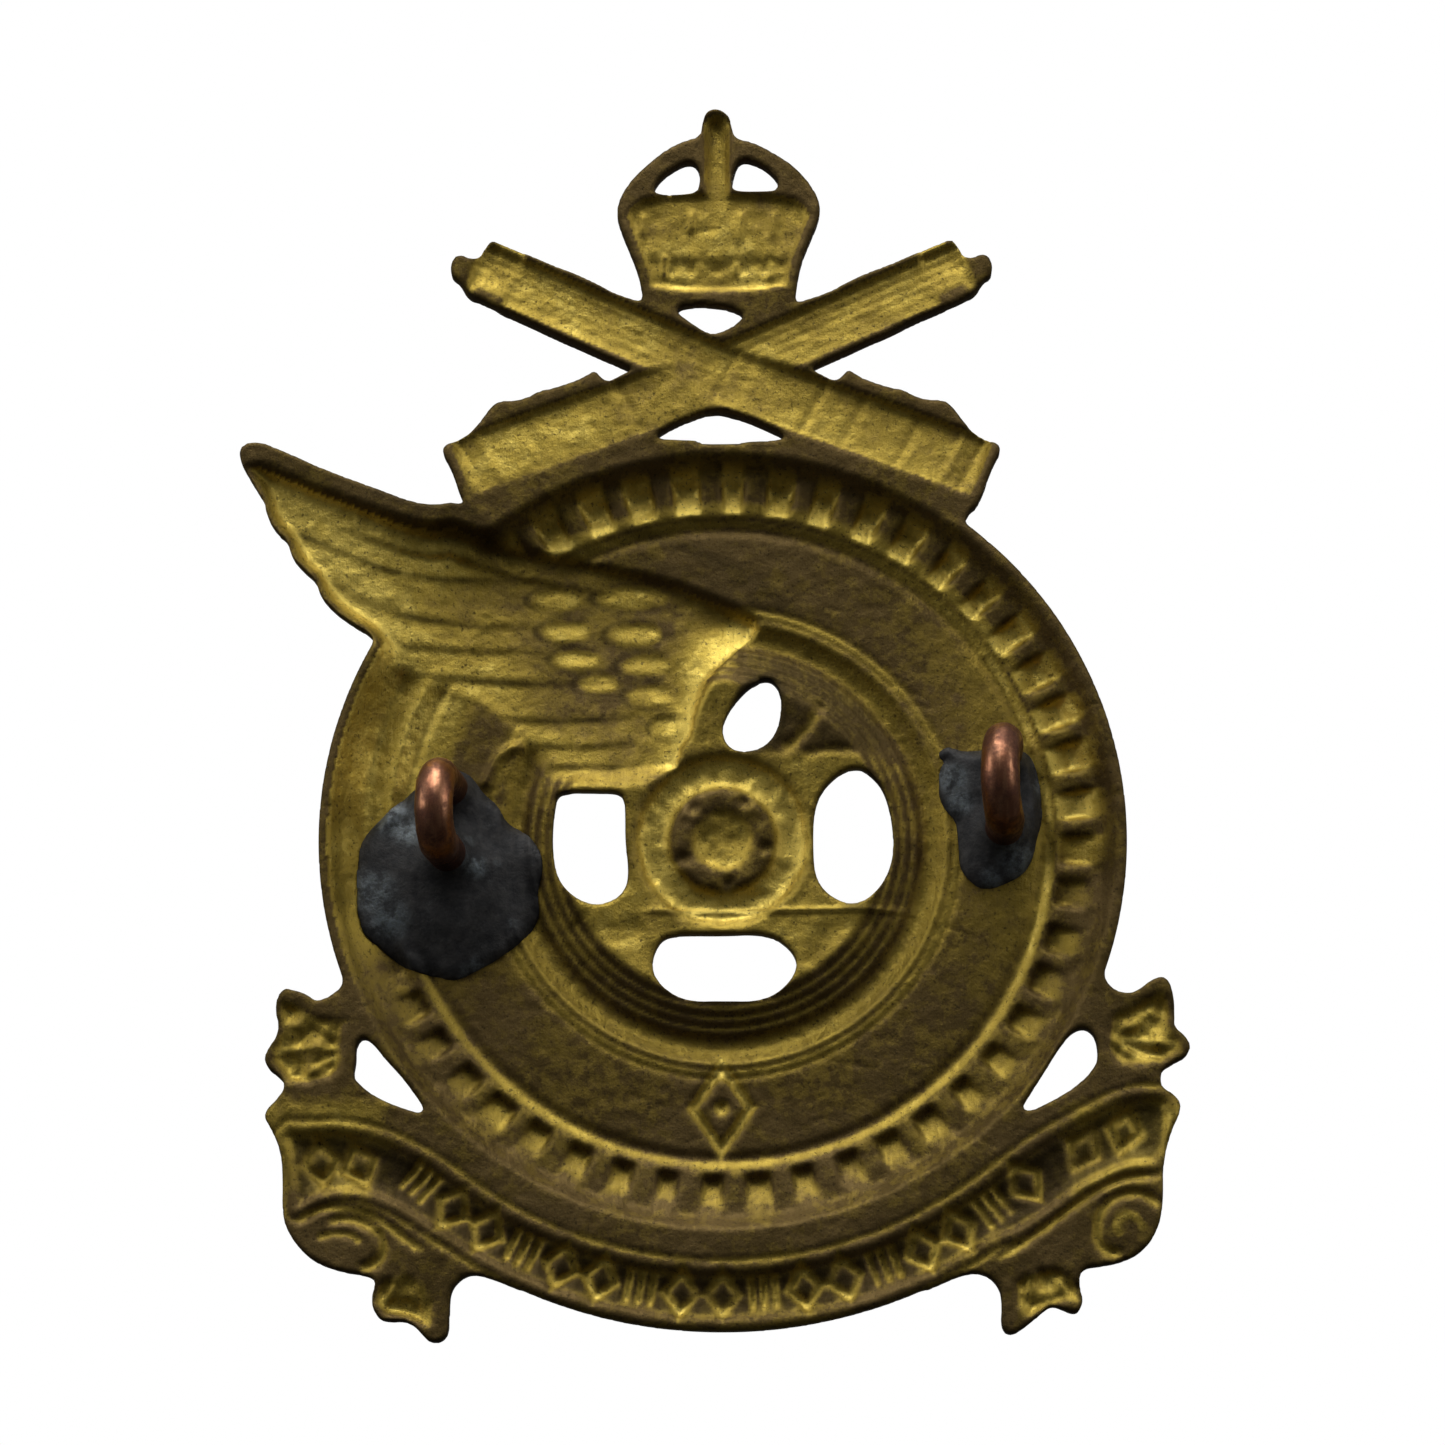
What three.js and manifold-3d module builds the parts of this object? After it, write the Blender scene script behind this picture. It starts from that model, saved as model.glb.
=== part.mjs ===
// Cap badge: a die-struck brass plate with two wire loops soldered to its hollow back.
// Millimetres. X runs to the right seen from the front, Y towards the cap, Z up.
// The origin is the middle of the wheel, in the plane on which the plate's back edge rests.
import * as THREE from 'three';
import { mergeVertices } from 'three/addons/utils/BufferGeometryUtils.js';
import Module from 'manifold-3d';

const wasm = await Module();
wasm.setup();

// Sheet and striking
const SHEET = 0.9; // thickness of the brass
const FRONT_STEP = 0.2; // flat edge left round a raised form, on the front
const BACK_STEP = 0.65; // flat edge left round its hollow, on the back
const NARROW_SHARE = 1 / 3; // of that edge, where a form has little room
const SLOPE = 0.35; // how far a struck wall leans in, and how deep that lean is
const FINE_STEP = 0.1; // both the step and the slope of small forms
const BEHIND = 1; // how far the cutting solids reach past the back plane
const TOUCH = 0.05; // keeps the raised forms off the back plane
const DEEP = -6; // well in front of the badge
const FAR_BACK = 3; // well behind the hollows
const WORKROOM = 60; // a radius well clear of the badge
const GAP = 0.3; // clearance between touching pieces

// How finely round shapes are divided
const WHEEL_STEPS = 44;
const DISC_STEPS = 14;
const SECTOR_STEPS = 14;
const ROUND_END_STEPS = 4;
const BAR_SIDES = 12;
const LOBE_DIVISIONS = [8, 4];
const LOBE_DEPTH = 0.5;
const SMALLEST_EDGE = 0.005;

// Wheel
const WHEEL_RADIUS = 17;
const LUG_COUNT = 44;
// Square studs on the tread, leaning with its slope
const LUG = { radius: 15.3, length: 1.5, width: 0.9, height: 0.7, rise: 0.85, lean: 0.75 };
const BOLT_COUNT = 5;
const BOLT = { circle: 1.9, radius: 0.3, rise: 1.35 };
// Half section of the wheel: radius and rise above the back plane
const WHEEL_SECTION = [
  [0, 1.5],
  [1.25, 1.5],
  [1.5, 1.05],
  [2.3, 1.05],
  [2.6, 1.7],
  [3.3, 1.7],
  [3.7, 0.6],
  [6.9, 0.6],
  [8.4, 1.55],
  [9.3, 1.55],
  [9.8, 1.3],
  [14.4, 1.45],
  [16.6, -0.4],
];

// Guns, both crossing near the top of the wheel
const BARREL = { from: [-0.4, 19.9], to: [10.1, 24.65], radius: 1.36, rise: 1.0 };
const GUN_NOSE = { from: [9.5, 24.4], to: [11.4, 24.85], radius: 0.6 };
// The square end of the barrel: its two corners, outward and upward from the barrel's end
const MUZZLE = [[-0.6, 1.2], [0.5, -1.1]];
const RECEIVER = { from: [0.6, 20.0], to: [-11.0, 15.75], halfWidth: 1.25, rise: 1.15 };
const UPPER_GUN_EXTRA = 0.35; // the gun that lies over the other stands this much prouder
const GUN_MIRROR_X = 0.15;

// Wing
const WING_RISE = 1.9;
const FEATHER_RISE = 0.22;
// Each feather: root, tip, half width
const FEATHERS = [
  [[3.4, 11.0], [17.8, 15.3], 0.6],
  [[8.9, 10.1], [15.8, 12.5], 0.75],
  [[8.9, 9.0], [15.2, 10.4], 0.6],
  [[8.2, 7.6], [13.2, 8.0], 0.5],
  [[7.2, 6.1], [10.2, 6.3], 0.5],
  [[4.9, 4.7], [8.6, 4.75], 0.4],
  [[4.9, 3.5], [7.7, 3.6], 0.4],
];
// Short feathers on the shoulder: middle, half length, half width
const COVERTS = [
  [7.0, 10.4, 1.3, 0.48],
  [6.8, 8.9, 1.1, 0.48],
  [6.2, 7.6, 1.0, 0.42],
  [5.5, 6.6, 0.9, 0.4],
  [4.0, 10.4, 1.2, 0.45],
  [3.8, 8.8, 1.15, 0.5],
  [3.4, 7.5, 1.0, 0.5],
  [3.1, 6.1, 1.0, 0.5],
  [2.3, 4.7, 0.8, 0.5],
];

// Crown
const CROWN_X = 0.2;
const CROWN_RISE = 0.75;
const CROWN_BAND = { halfWidth: 2.75, low: 23.6, high: 24.9, rise: 1.0 };
const CROWN_RIB = { halfWidth: 0.4, low: 25.2, high: 31.0, rise: 1.05 };
const JEWEL_COUNT = 5;
const JEWEL = { spacing: 1.05, z: 24.25, halfLength: 0.4, halfWidth: 0.35, rise: 1.2 };

// Scroll
const SCROLL = { inner: 18.15, outer: 20.95, land: 16.5, halfAngle: 46, rise: 0.8 };
const SCROLL_END_RISE = 0.85;
const LOZENGE_COUNT = 15;
const LOZENGE = { radius: 19.55, spacing: 5.6, along: 0.75, across: 0.6, rise: 1.1 };
const TYRE_LOZENGE = { z: -11.5, along: 0.95, across: 1.5, rise: 1.75 };
const CURL_LEFT = { x: -16.4, z: -16.1, radius: 2.05 };
const CURL_RIGHT = { x: 16.25, z: -16.2, radius: 2.2 };
const CURL_RISE = 0.7;
const CURL_EYE = { radius: 0.8, rise: 1.0 };

// Leaves: middle, half length, half width and turn of each raised lobe
const LEAF_RISE = 0.5;
const LEAF_LOBES = [
  [-17.2, -7.9, 1.1, 0.5, 1.9],
  [-17.9, -9.0, 1.1, 0.45, 0.2],
  [-13.0, -19.2, 1.1, 0.5, 2.2],
  [-14.2, -18.8, 0.9, 0.4, 1.2],
  [17.4, -7.9, 1.1, 0.5, 1.2],
  [17.9, -9.3, 1.0, 0.45, 0.1],
  [12.6, -19.5, 1.2, 0.5, 1.3],
  [13.9, -19.2, 0.8, 0.4, 2.0],
];

// Wire loops and their solder
const WIRE_RADIUS = 0.8;
const WIRE_SIDES = 8;
const LOOP_STEPS = 20;
const LOOP_LENGTH = 4.6; // over the outside of the wire
const LOOP_TOP = 4.4; // above the back plane
const LOOP_FOOT = -1.15;
const LOOP_LEFT = { x: -11.6, z: 1.9 };
const LOOP_RIGHT = { x: 11.5, z: 0.6 };
const SOLDER_TOP = 0.15;
const SOLDER_ROUND = { depth: 0.6, width: 0.9, steps: 3 };

// ---- From three.js geometry to solids and back ----

// A closed geometry as a solid, facing out. Corners nearer than the tolerance become one.
function solid(geometry, tolerance = 1e-4) {
  const bare = new THREE.BufferGeometry();
  const source = geometry.index ? geometry.toNonIndexed() : geometry;
  bare.setAttribute('position', source.getAttribute('position'));
  const merged = mergeVertices(bare, tolerance);
  const corners = merged.index.array;
  const triangles = [];
  for (let i = 0; i < corners.length; i += 3) {
    const [a, b, c] = corners.slice(i, i + 3);
    if (a !== b && b !== c && c !== a) triangles.push(a, b, c);
  }
  const make = (order) =>
    new wasm.Manifold(
      new wasm.Mesh({
        numProp: 3,
        vertProperties: merged.attributes.position.array,
        triVerts: new Uint32Array(order),
      }),
    );
  const made = make(triangles);
  return made.volume() < 0 ? make(triangles.reverse()) : made;
}

function join(solids) {
  return solids.reduce((whole, next) => whole.add(next));
}

function largestBody(whole) {
  return whole.decompose().reduce((a, b) => (b.volume() > a.volume() ? b : a));
}

function geometryOf(whole) {
  const { vertProperties, triVerts } = whole.getMesh();
  const geometry = new THREE.BufferGeometry();
  geometry.setAttribute('position', new THREE.BufferAttribute(vertProperties, 3));
  geometry.setIndex(new THREE.BufferAttribute(triVerts, 1));
  return geometry;
}

// The largest body, without the hair-thin faces that cutting leaves, as a named mesh.
function meshOf(name, whole, look) {
  const clean = largestBody(solid(geometryOf(whole), SMALLEST_EDGE));
  const geometry = geometryOf(clean).toNonIndexed();
  geometry.computeVertexNormals();
  const mesh = new THREE.Mesh(geometry, new THREE.MeshStandardMaterial(look));
  mesh.name = name;
  return mesh;
}

// ---- Outlines, drawn in the XZ plane ----

function polygon(points) {
  return new THREE.Shape(points.map(([x, z]) => new THREE.Vector2(x, z)));
}

// Points along an arc, both ends included.
function arcPoints(x, z, radius, from, to, steps) {
  return Array.from({ length: steps + 1 }, (_, i) => {
    const angle = from + ((to - from) * i) / steps;
    return [x + radius * Math.cos(angle), z + radius * Math.sin(angle)];
  });
}

function disc(x, z, radius, steps = DISC_STEPS) {
  return polygon(arcPoints(x, z, radius, 0, 2 * Math.PI, steps).slice(1));
}

function mirrored(points, axisX) {
  return points.map(([x, z]) => [2 * axisX - x, z]);
}

// A strip from one point to another, square at the first end and round at the second.
function strip([x0, z0], [x1, z1], halfWidth) {
  const angle = Math.atan2(z1 - z0, x1 - x0);
  const [u, v] = [-Math.sin(angle) * halfWidth, Math.cos(angle) * halfWidth];
  const end = arcPoints(x1, z1, halfWidth, angle - Math.PI / 2, angle + Math.PI / 2, ROUND_END_STEPS);
  return polygon([[x0 + u, z0 + v], [x0 - u, z0 - v], ...end]);
}

// A sector of a ring centred on the wheel's middle, reaching as far to the left as to the right.
function ringSector(inner, outer, halfAngle) {
  const half = THREE.MathUtils.degToRad(halfAngle);
  const down = -Math.PI / 2;
  return polygon([
    ...arcPoints(0, 0, outer, down - half, down + half, SECTOR_STEPS),
    ...arcPoints(0, 0, inner, down + half, down - half, SECTOR_STEPS),
  ]);
}

// The crown's outlines are drawn as one half, from the middle outwards.
function bothHalves(half) {
  return [...half, ...mirrored(half, 0).reverse()].map(([x, z]) => [x + CROWN_X, z]);
}

function lozenge(x, z, along, across, angle) {
  const [c, s] = [Math.cos(angle), Math.sin(angle)];
  const corners = [[along, 0], [0, across], [-along, 0], [0, -across]];
  return polygon(corners.map(([u, v]) => [x + u * c - v * s, z + u * s + v * c]));
}

const CROWN_HALF = [
  [0, 31.45], [0.45, 31.3], [0.62, 30.9], [0.72, 30.2], [1.5, 30.0], [2.3, 29.6], [3.05, 28.95],
  [3.8, 28.05], [4.25, 27.1], [3.95, 26.2], [3.5, 25.1], [3.25, 24.2], [3.2, 22.4],
];
const CROWN_BODY_HALF = [[4.0, 27.6], [3.0, 23.5]];
const CROWN_WINDOW = [
  [0.8, 27.95], [0.8, 28.9], [1.15, 29.3], [1.65, 29.15], [2.25, 28.7], [2.7, 28.1], [2.6, 27.9],
];
const CROWN_FOOT_WINDOW = [
  [-1.0, 22.6], [-0.5, 23.0], [0.5, 23.15], [1.8, 23.05], [2.05, 22.75], [1.2, 22.1], [0.4, 21.7],
  [-0.4, 22.05],
];
const CROSSING_WINDOW = [
  [-2.55, 17.2], [-1.7, 17.85], [-0.6, 18.35], [0.1, 18.5], [0.9, 18.35], [2.0, 17.9], [2.8, 17.4],
  [2.6, 17.1], [-2.3, 17.1],
];
const RECEIVER_LEDGE = [
  [-10.6, 13.9], [-11.0, 15.2], [-11.65, 16.75], [-10.7, 17.45], [-10.1, 18.2], [-9.4, 18.85],
  [-8.0, 19.15], [-6.0, 19.9], [-5.3, 20.1], [-4.6, 19.75], [-3.9, 20.05], [-2.0, 20.6], [0, 19.4],
  [-2.4, 17.5], [-6, 14.5], [-9.6, 13.0],
];
const WING_OUTLINE = [
  [-2.4, 9.9], [0.6, 10.5], [3, 11.4], [7, 12.1], [10, 13.0], [11.2, 14.6], [11.9, 14.3],
  [13.2, 14.5], [15, 15.2], [17, 16.0], [19.7, 17.15], [20.2, 17.05], [20.3, 16.6], [19.2, 14.8],
  [19.05, 14.1], [18.2, 13.0], [18.0, 12.3], [17.0, 11.3], [16.6, 10.4], [14.75, 8.9], [13.9, 7.1],
  [10.6, 5.9], [9.3, 5.0], [7.7, 3.0], [7.3, 2.3], [4.1, 2.3], [1.1, 3.3], [0.9, 5.0], [0.2, 6.6],
  [-0.9, 8.2],
];
// The raised body of the wing, without the notches of its feather tips
const WING_BODY = [
  [-2.3, 9.8], [0.6, 10.5], [7, 12.0], [13, 14.35], [19.4, 16.9], [17.5, 12.0], [14.5, 8.9],
  [7.4, 2.35], [4.1, 2.35], [1.1, 3.4], [0.9, 5.2], [-0.9, 8.2],
];
const WINDOW_LEFT = [
  [-7.1, 0.5], [-6.9, 2.0], [-6.3, 2.9], [-5.6, 3.15], [-4.9, 2.95], [-4.1, 2.3], [-3.8, 1.5],
  [-3.8, -1.3], [-4.1, -2.0], [-4.8, -2.55], [-5.5, -2.65], [-6.2, -2.4], [-6.8, -1.7],
  [-7.1, -0.5],
];
const WINDOW_RIGHT = [
  [4.15, 1.9], [4.4, 2.15], [6.9, 2.15], [7.1, 1.8], [7.2, 0.5], [7.1, -1.0], [6.8, -1.9],
  [6.2, -2.5], [5.4, -2.75], [4.6, -2.5], [4.05, -1.9], [4.0, -1.0],
];
const WINDOW_LOW = [
  [-3.1, -5.2], [-2.8, -4.6], [-2.2, -4.1], [-1.3, -3.9], [2.2, -3.9], [2.7, -4.3], [3.0, -5.1],
  [2.8, -5.9], [2.2, -6.5], [1.3, -6.8], [-1.3, -6.8], [-2.2, -6.5], [-2.8, -5.9],
];
const WINDOW_HIGH = [
  [-2.4, 6.3], [-2.1, 6.95], [-1.7, 7.05], [-1.0, 6.6], [-0.4, 6.0], [0.0, 5.3], [0.1, 4.7],
  [-0.4, 3.95], [-1.2, 3.9], [-1.9, 4.2], [-2.35, 5.0],
];
const SCROLL_END_LEFT = [
  [-14.3, -11.0], [-16.5, -10.5], [-18.4, -10.5], [-19.2, -11.5], [-18.5, -13.5], [-18.4, -14.1],
  [-17, -13.9], [-15.6, -14.5], [-14.3, -15.5], [-12.5, -13],
];
const SCROLL_END_RIGHT = [
  [14.3, -11.8], [16.5, -11.5], [18.2, -11.4], [19.2, -11.9], [18.6, -13.5], [18.4, -15.3], [17, -14.9],
  [15.6, -15], [14.3, -15.6], [12.5, -13],
];
// The raised bodies of the scroll's ends
const SCROLL_BODY_LEFT = [
  [-13.2, -12.4], [-15.5, -10.9], [-18.8, -10.9], [-18.4, -14.1], [-15.4, -14.3],
];
const SCROLL_BODY_RIGHT = [[13.2, -12.4], [15.5, -11.8], [18.9, -11.9], [18.4, -15.1], [15.2, -14.6]];
const LEAF_HIGH_LEFT = [
  [-14.6, -7.2], [-15.9, -6.0], [-16.3, -6.45], [-17.2, -6.7], [-18.4, -6.05], [-18.9, -6.35],
  [-19.0, -8.2], [-19.65, -9.0], [-18.5, -9.9], [-18.4, -11.2], [-16, -11.5], [-12.3, -11.9],
  [-12.5, -11.4], [-14.0, -10.9], [-15.2, -10.0], [-15.6, -9.3], [-15.45, -8.3], [-15.0, -7.9],
];
const LEAF_HIGH_RIGHT = [
  [14.4, -7.6], [15.7, -5.9], [16.3, -6.6], [17.0, -6.95], [18.5, -6.45], [18.85, -7.0], [18.75, -8.3],
  [19.25, -9.3], [18.45, -10.6], [18.4, -12], [13, -13], [12.3, -12], [13.8, -11.3], [14.9, -10.7],
  [15.4, -10.0], [15.3, -8.9], [14.95, -8.4],
];
const LEAF_LOW_LEFT = [
  [-15.6, -17.5], [-15.05, -19.7], [-14.75, -20.05], [-14.0, -19.75], [-13.3, -20.2], [-12.1, -20.95],
  [-11.7, -20.6], [-11.6, -19.0], [-10.6, -18.2], [-9.5, -17.5], [-13.5, -13], [-16, -14.5],
];
const LEAF_LOW_RIGHT = [
  [15.6, -17.5], [14.8, -18.8], [14.85, -19.8], [14.3, -20.35], [13.3, -20.4], [12.3, -21.3],
  [11.6, -21.1], [11.4, -19.4], [10.4, -18.3], [9.5, -17.5], [13.5, -13], [16, -14.5],
];
const SOLDER_LEFT = [
  [-9.1, 3.6], [-9.2, 1.6], [-9.7, 0], [-10.1, -1.4], [-10.8, -2.1], [-12.0, -2.0], [-13.1, -0.9],
  [-13.5, 0.7], [-13.3, 2.8], [-12.7, 4.6], [-11.4, 5.1], [-10.0, 4.8],
];
const SOLDER_RIGHT = [
  [13.2, 1.9], [14.6, 0.7], [15.1, -1.6], [14.7, -3.8], [13.4, -5.2], [11.2, -5.8], [10.0, -5.3],
  [8.5, -4.4], [7.8, -3.1], [7.8, -0.4], [9.1, 0.9], [10.1, 2.6], [11.4, 3.8], [12.7, 3.3],
];

// ---- Solids from outlines ----

// Straight-sided, from the plane y = back forward to the plane y = front.
function prism(outline, back, front) {
  const options = { depth: back - front, bevelEnabled: false };
  const geometry = new THREE.ExtrudeGeometry(outline, options);
  geometry.rotateX(Math.PI / 2);
  geometry.translate(0, back, 0);
  return solid(geometry);
}

// Raised by a punch: its walls lean in over the last SLOPE of the rise.
function raised(outline, rise, press, step = press.step, slope = SLOPE) {
  const options = {
    depth: rise + press.lift + BEHIND - slope,
    bevelThickness: slope,
    bevelSize: slope,
    bevelOffset: -slope - step,
    bevelSegments: 1,
  };
  const geometry = new THREE.ExtrudeGeometry(outline, options);
  geometry.rotateX(Math.PI / 2);
  geometry.translate(0, BEHIND, 0);
  return solid(geometry);
}

// A half-sunk round bar from one point to another.
function bar(from, to, radius, rise, press) {
  const thick = radius - press.step;
  const [x0, z0] = from;
  const [x1, z1] = to;
  const length = Math.hypot(x1 - x0, z1 - z0) - 2 * press.step;
  const geometry = new THREE.CylinderGeometry(thick, thick, length, BAR_SIDES);
  geometry.rotateZ(Math.PI / 2);
  geometry.rotateY(-Math.atan2(z1 - z0, x1 - x0));
  geometry.translate((x0 + x1) / 2, thick - rise - press.lift, (z0 + z1) / 2);
  return solid(geometry);
}

// A rounded swelling whose crown stands at the given rise.
function lobe(x, z, halfLength, halfWidth, rise, angle, press) {
  const geometry = new THREE.SphereGeometry(1, ...LOBE_DIVISIONS);
  geometry.scale(halfLength, LOBE_DEPTH, halfWidth);
  geometry.rotateY(-angle);
  geometry.translate(x, LOBE_DEPTH - rise - press.lift, z);
  return solid(geometry);
}

// ---- The struck forms ----
// Each is built twice: lifted by the sheet's thickness as the front, and narrower as the hollow.

function wheelForm(press) {
  const section = WHEEL_SECTION.map(([radius, rise]) => new THREE.Vector2(radius, -rise - press.lift));
  const rim = section[section.length - 1].x;
  section.push(new THREE.Vector2(rim, BEHIND), new THREE.Vector2(0, BEHIND));
  return solid(new THREE.LatheGeometry(section, WHEEL_STEPS));
}

function tyreLugs(press) {
  const lugs = [];
  for (let i = 0; i < LUG_COUNT; i += 1) {
    const geometry = new THREE.BoxGeometry(LUG.length, LUG.height, LUG.width);
    geometry.rotateZ(LUG.lean);
    geometry.translate(LUG.radius, -LUG.rise - press.lift, 0);
    geometry.rotateY((2 * Math.PI * i) / LUG_COUNT);
    lugs.push(solid(geometry));
  }
  return lugs;
}

function hubBolts(press) {
  const bolts = [];
  for (let i = 0; i < BOLT_COUNT; i += 1) {
    const angle = (2 * Math.PI * i) / BOLT_COUNT;
    const [x, z] = [BOLT.circle * Math.cos(angle), BOLT.circle * Math.sin(angle)];
    bolts.push(lobe(x, z, BOLT.radius, BOLT.radius, BOLT.rise, 0, press));
  }
  return bolts;
}

function gunForms(press, side, extra) {
  const flip = ([x, z]) => (side > 0 ? [x, z] : [2 * GUN_MIRROR_X - x, z]);
  const barrel = bar(flip(BARREL.from), flip(BARREL.to), BARREL.radius, BARREL.rise + extra, press);
  const receiver = strip(flip(RECEIVER.from), flip(RECEIVER.to), RECEIVER.halfWidth);
  return [barrel, raised(receiver, RECEIVER.rise + extra, press)];
}

function wingForms(press) {
  const forms = [raised(polygon(WING_BODY), WING_RISE, press)];
  for (const [root, tip, halfWidth] of FEATHERS) {
    const outline = strip(root, tip, halfWidth);
    forms.push(raised(outline, WING_RISE + FEATHER_RISE, press, FINE_STEP, FINE_STEP));
  }
  for (const [x, z, halfLength, halfWidth] of COVERTS) {
    forms.push(lobe(x, z, halfLength, halfWidth, WING_RISE + FEATHER_RISE, 0, press));
  }
  return forms;
}

function crownForms(press) {
  const box = ({ halfWidth, low, high }) => {
    const [x0, x1] = [CROWN_X - halfWidth, CROWN_X + halfWidth];
    return polygon([[x0, low], [x1, low], [x1, high], [x0, high]]);
  };
  const outline = bothHalves(CROWN_BODY_HALF);
  const narrow = press.step * NARROW_SHARE;
  const forms = [
    raised(polygon(outline), CROWN_RISE, press),
    raised(box(CROWN_BAND), CROWN_BAND.rise, press, narrow, FINE_STEP),
    raised(box(CROWN_RIB), CROWN_RIB.rise, press, narrow, FINE_STEP),
  ];
  for (let i = 0; i < JEWEL_COUNT; i += 1) {
    const x = CROWN_X + (i - (JEWEL_COUNT - 1) / 2) * JEWEL.spacing;
    forms.push(lobe(x, JEWEL.z, JEWEL.halfLength, JEWEL.halfWidth, JEWEL.rise, 0, press));
  }
  return forms;
}

function scrollForms(press) {
  const forms = [
    raised(ringSector(SCROLL.inner, SCROLL.outer, SCROLL.halfAngle), SCROLL.rise, press),
    raised(polygon(SCROLL_BODY_LEFT), SCROLL_END_RISE, press),
    raised(polygon(SCROLL_BODY_RIGHT), SCROLL_END_RISE, press),
  ];
  for (let i = 0; i < LOZENGE_COUNT; i += 1) {
    const turn = THREE.MathUtils.degToRad((i - (LOZENGE_COUNT - 1) / 2) * LOZENGE.spacing);
    const [x, z] = [LOZENGE.radius * Math.sin(turn), -LOZENGE.radius * Math.cos(turn)];
    const outline = lozenge(x, z, LOZENGE.along, LOZENGE.across, turn);
    forms.push(raised(outline, LOZENGE.rise, press, FINE_STEP, FINE_STEP));
  }
  for (const curl of [CURL_LEFT, CURL_RIGHT]) {
    forms.push(raised(disc(curl.x, curl.z, curl.radius), CURL_RISE, press));
    const eye = disc(curl.x, curl.z, CURL_EYE.radius);
    forms.push(raised(eye, CURL_EYE.rise, press, FINE_STEP, FINE_STEP));
  }
  return forms;
}

function leafForms(press) {
  return LEAF_LOBES.map(([x, z, halfLength, halfWidth, angle]) =>
    lobe(x, z, halfLength - press.step * NARROW_SHARE, halfWidth, LEAF_RISE, angle, press),
  );
}

function tyreOrnament(press) {
  const { z, along, across, rise } = TYRE_LOZENGE;
  return raised(lozenge(0, z, along, across, 0), rise, press, FINE_STEP, FINE_STEP);
}

function struckForms(press) {
  return join([
    wheelForm(press),
    tyreOrnament(press),
    ...wingForms(press),
    ...gunForms(press, 1, UPPER_GUN_EXTRA),
    ...gunForms(press, -1, 0),
    ...crownForms(press),
    ...scrollForms(press),
    ...leafForms(press),
  ]);
}

// Fine work that shows on the front only: the hollow behind it is smooth.
function frontDetails(press) {
  return join([...tyreLugs(press), ...hubBolts(press)]);
}

// ---- The plate ----

function silhouettes() {
  const { from, to, radius } = BARREL;
  const outlines = [
    disc(0, 0, WHEEL_RADIUS, WHEEL_STEPS),
    polygon(bothHalves(CROWN_HALF)),
    polygon(WING_OUTLINE),
    ringSector(SCROLL.land, SCROLL.outer, SCROLL.halfAngle),
    disc(CURL_LEFT.x, CURL_LEFT.z, CURL_LEFT.radius),
    disc(CURL_RIGHT.x, CURL_RIGHT.z, CURL_RIGHT.radius),
  ];
  for (const points of [SCROLL_END_LEFT, SCROLL_END_RIGHT]) outlines.push(polygon(points));
  for (const points of [LEAF_HIGH_LEFT, LEAF_HIGH_RIGHT, LEAF_LOW_LEFT, LEAF_LOW_RIGHT]) {
    outlines.push(polygon(points));
  }
  for (const flip of [(points) => points, (points) => mirrored(points, GUN_MIRROR_X)]) {
    const [start, end, noseStart, noseEnd] = flip([from, to, GUN_NOSE.from, GUN_NOSE.to]);
    const outward = Math.sign(end[0] - start[0]);
    const muzzle = MUZZLE.map(([out, up]) => [end[0] + out * outward, end[1] + up]);
    outlines.push(strip(end, start, radius));
    outlines.push(polygon([start, muzzle[0], end, muzzle[1]]));
    outlines.push(strip(noseStart, noseEnd, GUN_NOSE.radius));
    outlines.push(polygon(flip(RECEIVER_LEDGE)));
  }
  return outlines;
}

function windows() {
  const crownWindow = CROWN_WINDOW.map(([x, z]) => [x + CROWN_X, z]);
  return [
    crownWindow,
    mirrored(crownWindow, CROWN_X),
    CROWN_FOOT_WINDOW,
    CROSSING_WINDOW,
    WINDOW_LEFT,
    WINDOW_RIGHT,
    WINDOW_LOW,
    WINDOW_HIGH,
  ];
}

const FRONT_PRESS = { lift: SHEET, step: FRONT_STEP };
const BACK_PRESS = { lift: 0, step: BACK_STEP };
const hollows = struckForms(BACK_PRESS);

function plateSolid() {
  const flange = join(silhouettes().map((outline) => prism(outline, 0, -SHEET)));
  const inFront = prism(disc(0, 0, WORKROOM), -TOUCH, DEEP);
  const front = struckForms(FRONT_PRESS).add(frontDetails(FRONT_PRESS)).intersect(inFront);
  const cut = join([hollows, ...windows().map((points) => prism(polygon(points), BEHIND, DEEP))]);
  return flange.add(front).subtract(cut);
}

// ---- Loops and solder ----

function legOffset() {
  return LOOP_LENGTH / 2 - WIRE_RADIUS;
}

class LoopPath extends THREE.Curve {
  // Up one leg, round a half circle and down the other leg.
  constructor({ x, z }) {
    super();
    this.place = { x, z };
    this.bend = legOffset();
    this.shoulder = LOOP_TOP - WIRE_RADIUS - this.bend;
    this.leg = this.shoulder - LOOP_FOOT;
  }

  getPoint(t, target = new THREE.Vector3()) {
    const arc = Math.PI * this.bend;
    const s = t * (2 * this.leg + arc);
    const { x, z } = this.place;
    if (s <= this.leg) return target.set(x, LOOP_FOOT + s, z - this.bend);
    if (s >= this.leg + arc) return target.set(x, this.shoulder - (s - this.leg - arc), z + this.bend);
    const turn = (s - this.leg) / this.bend;
    return target.set(x, this.shoulder + this.bend * Math.sin(turn), z - this.bend * Math.cos(turn));
  }
}

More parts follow.
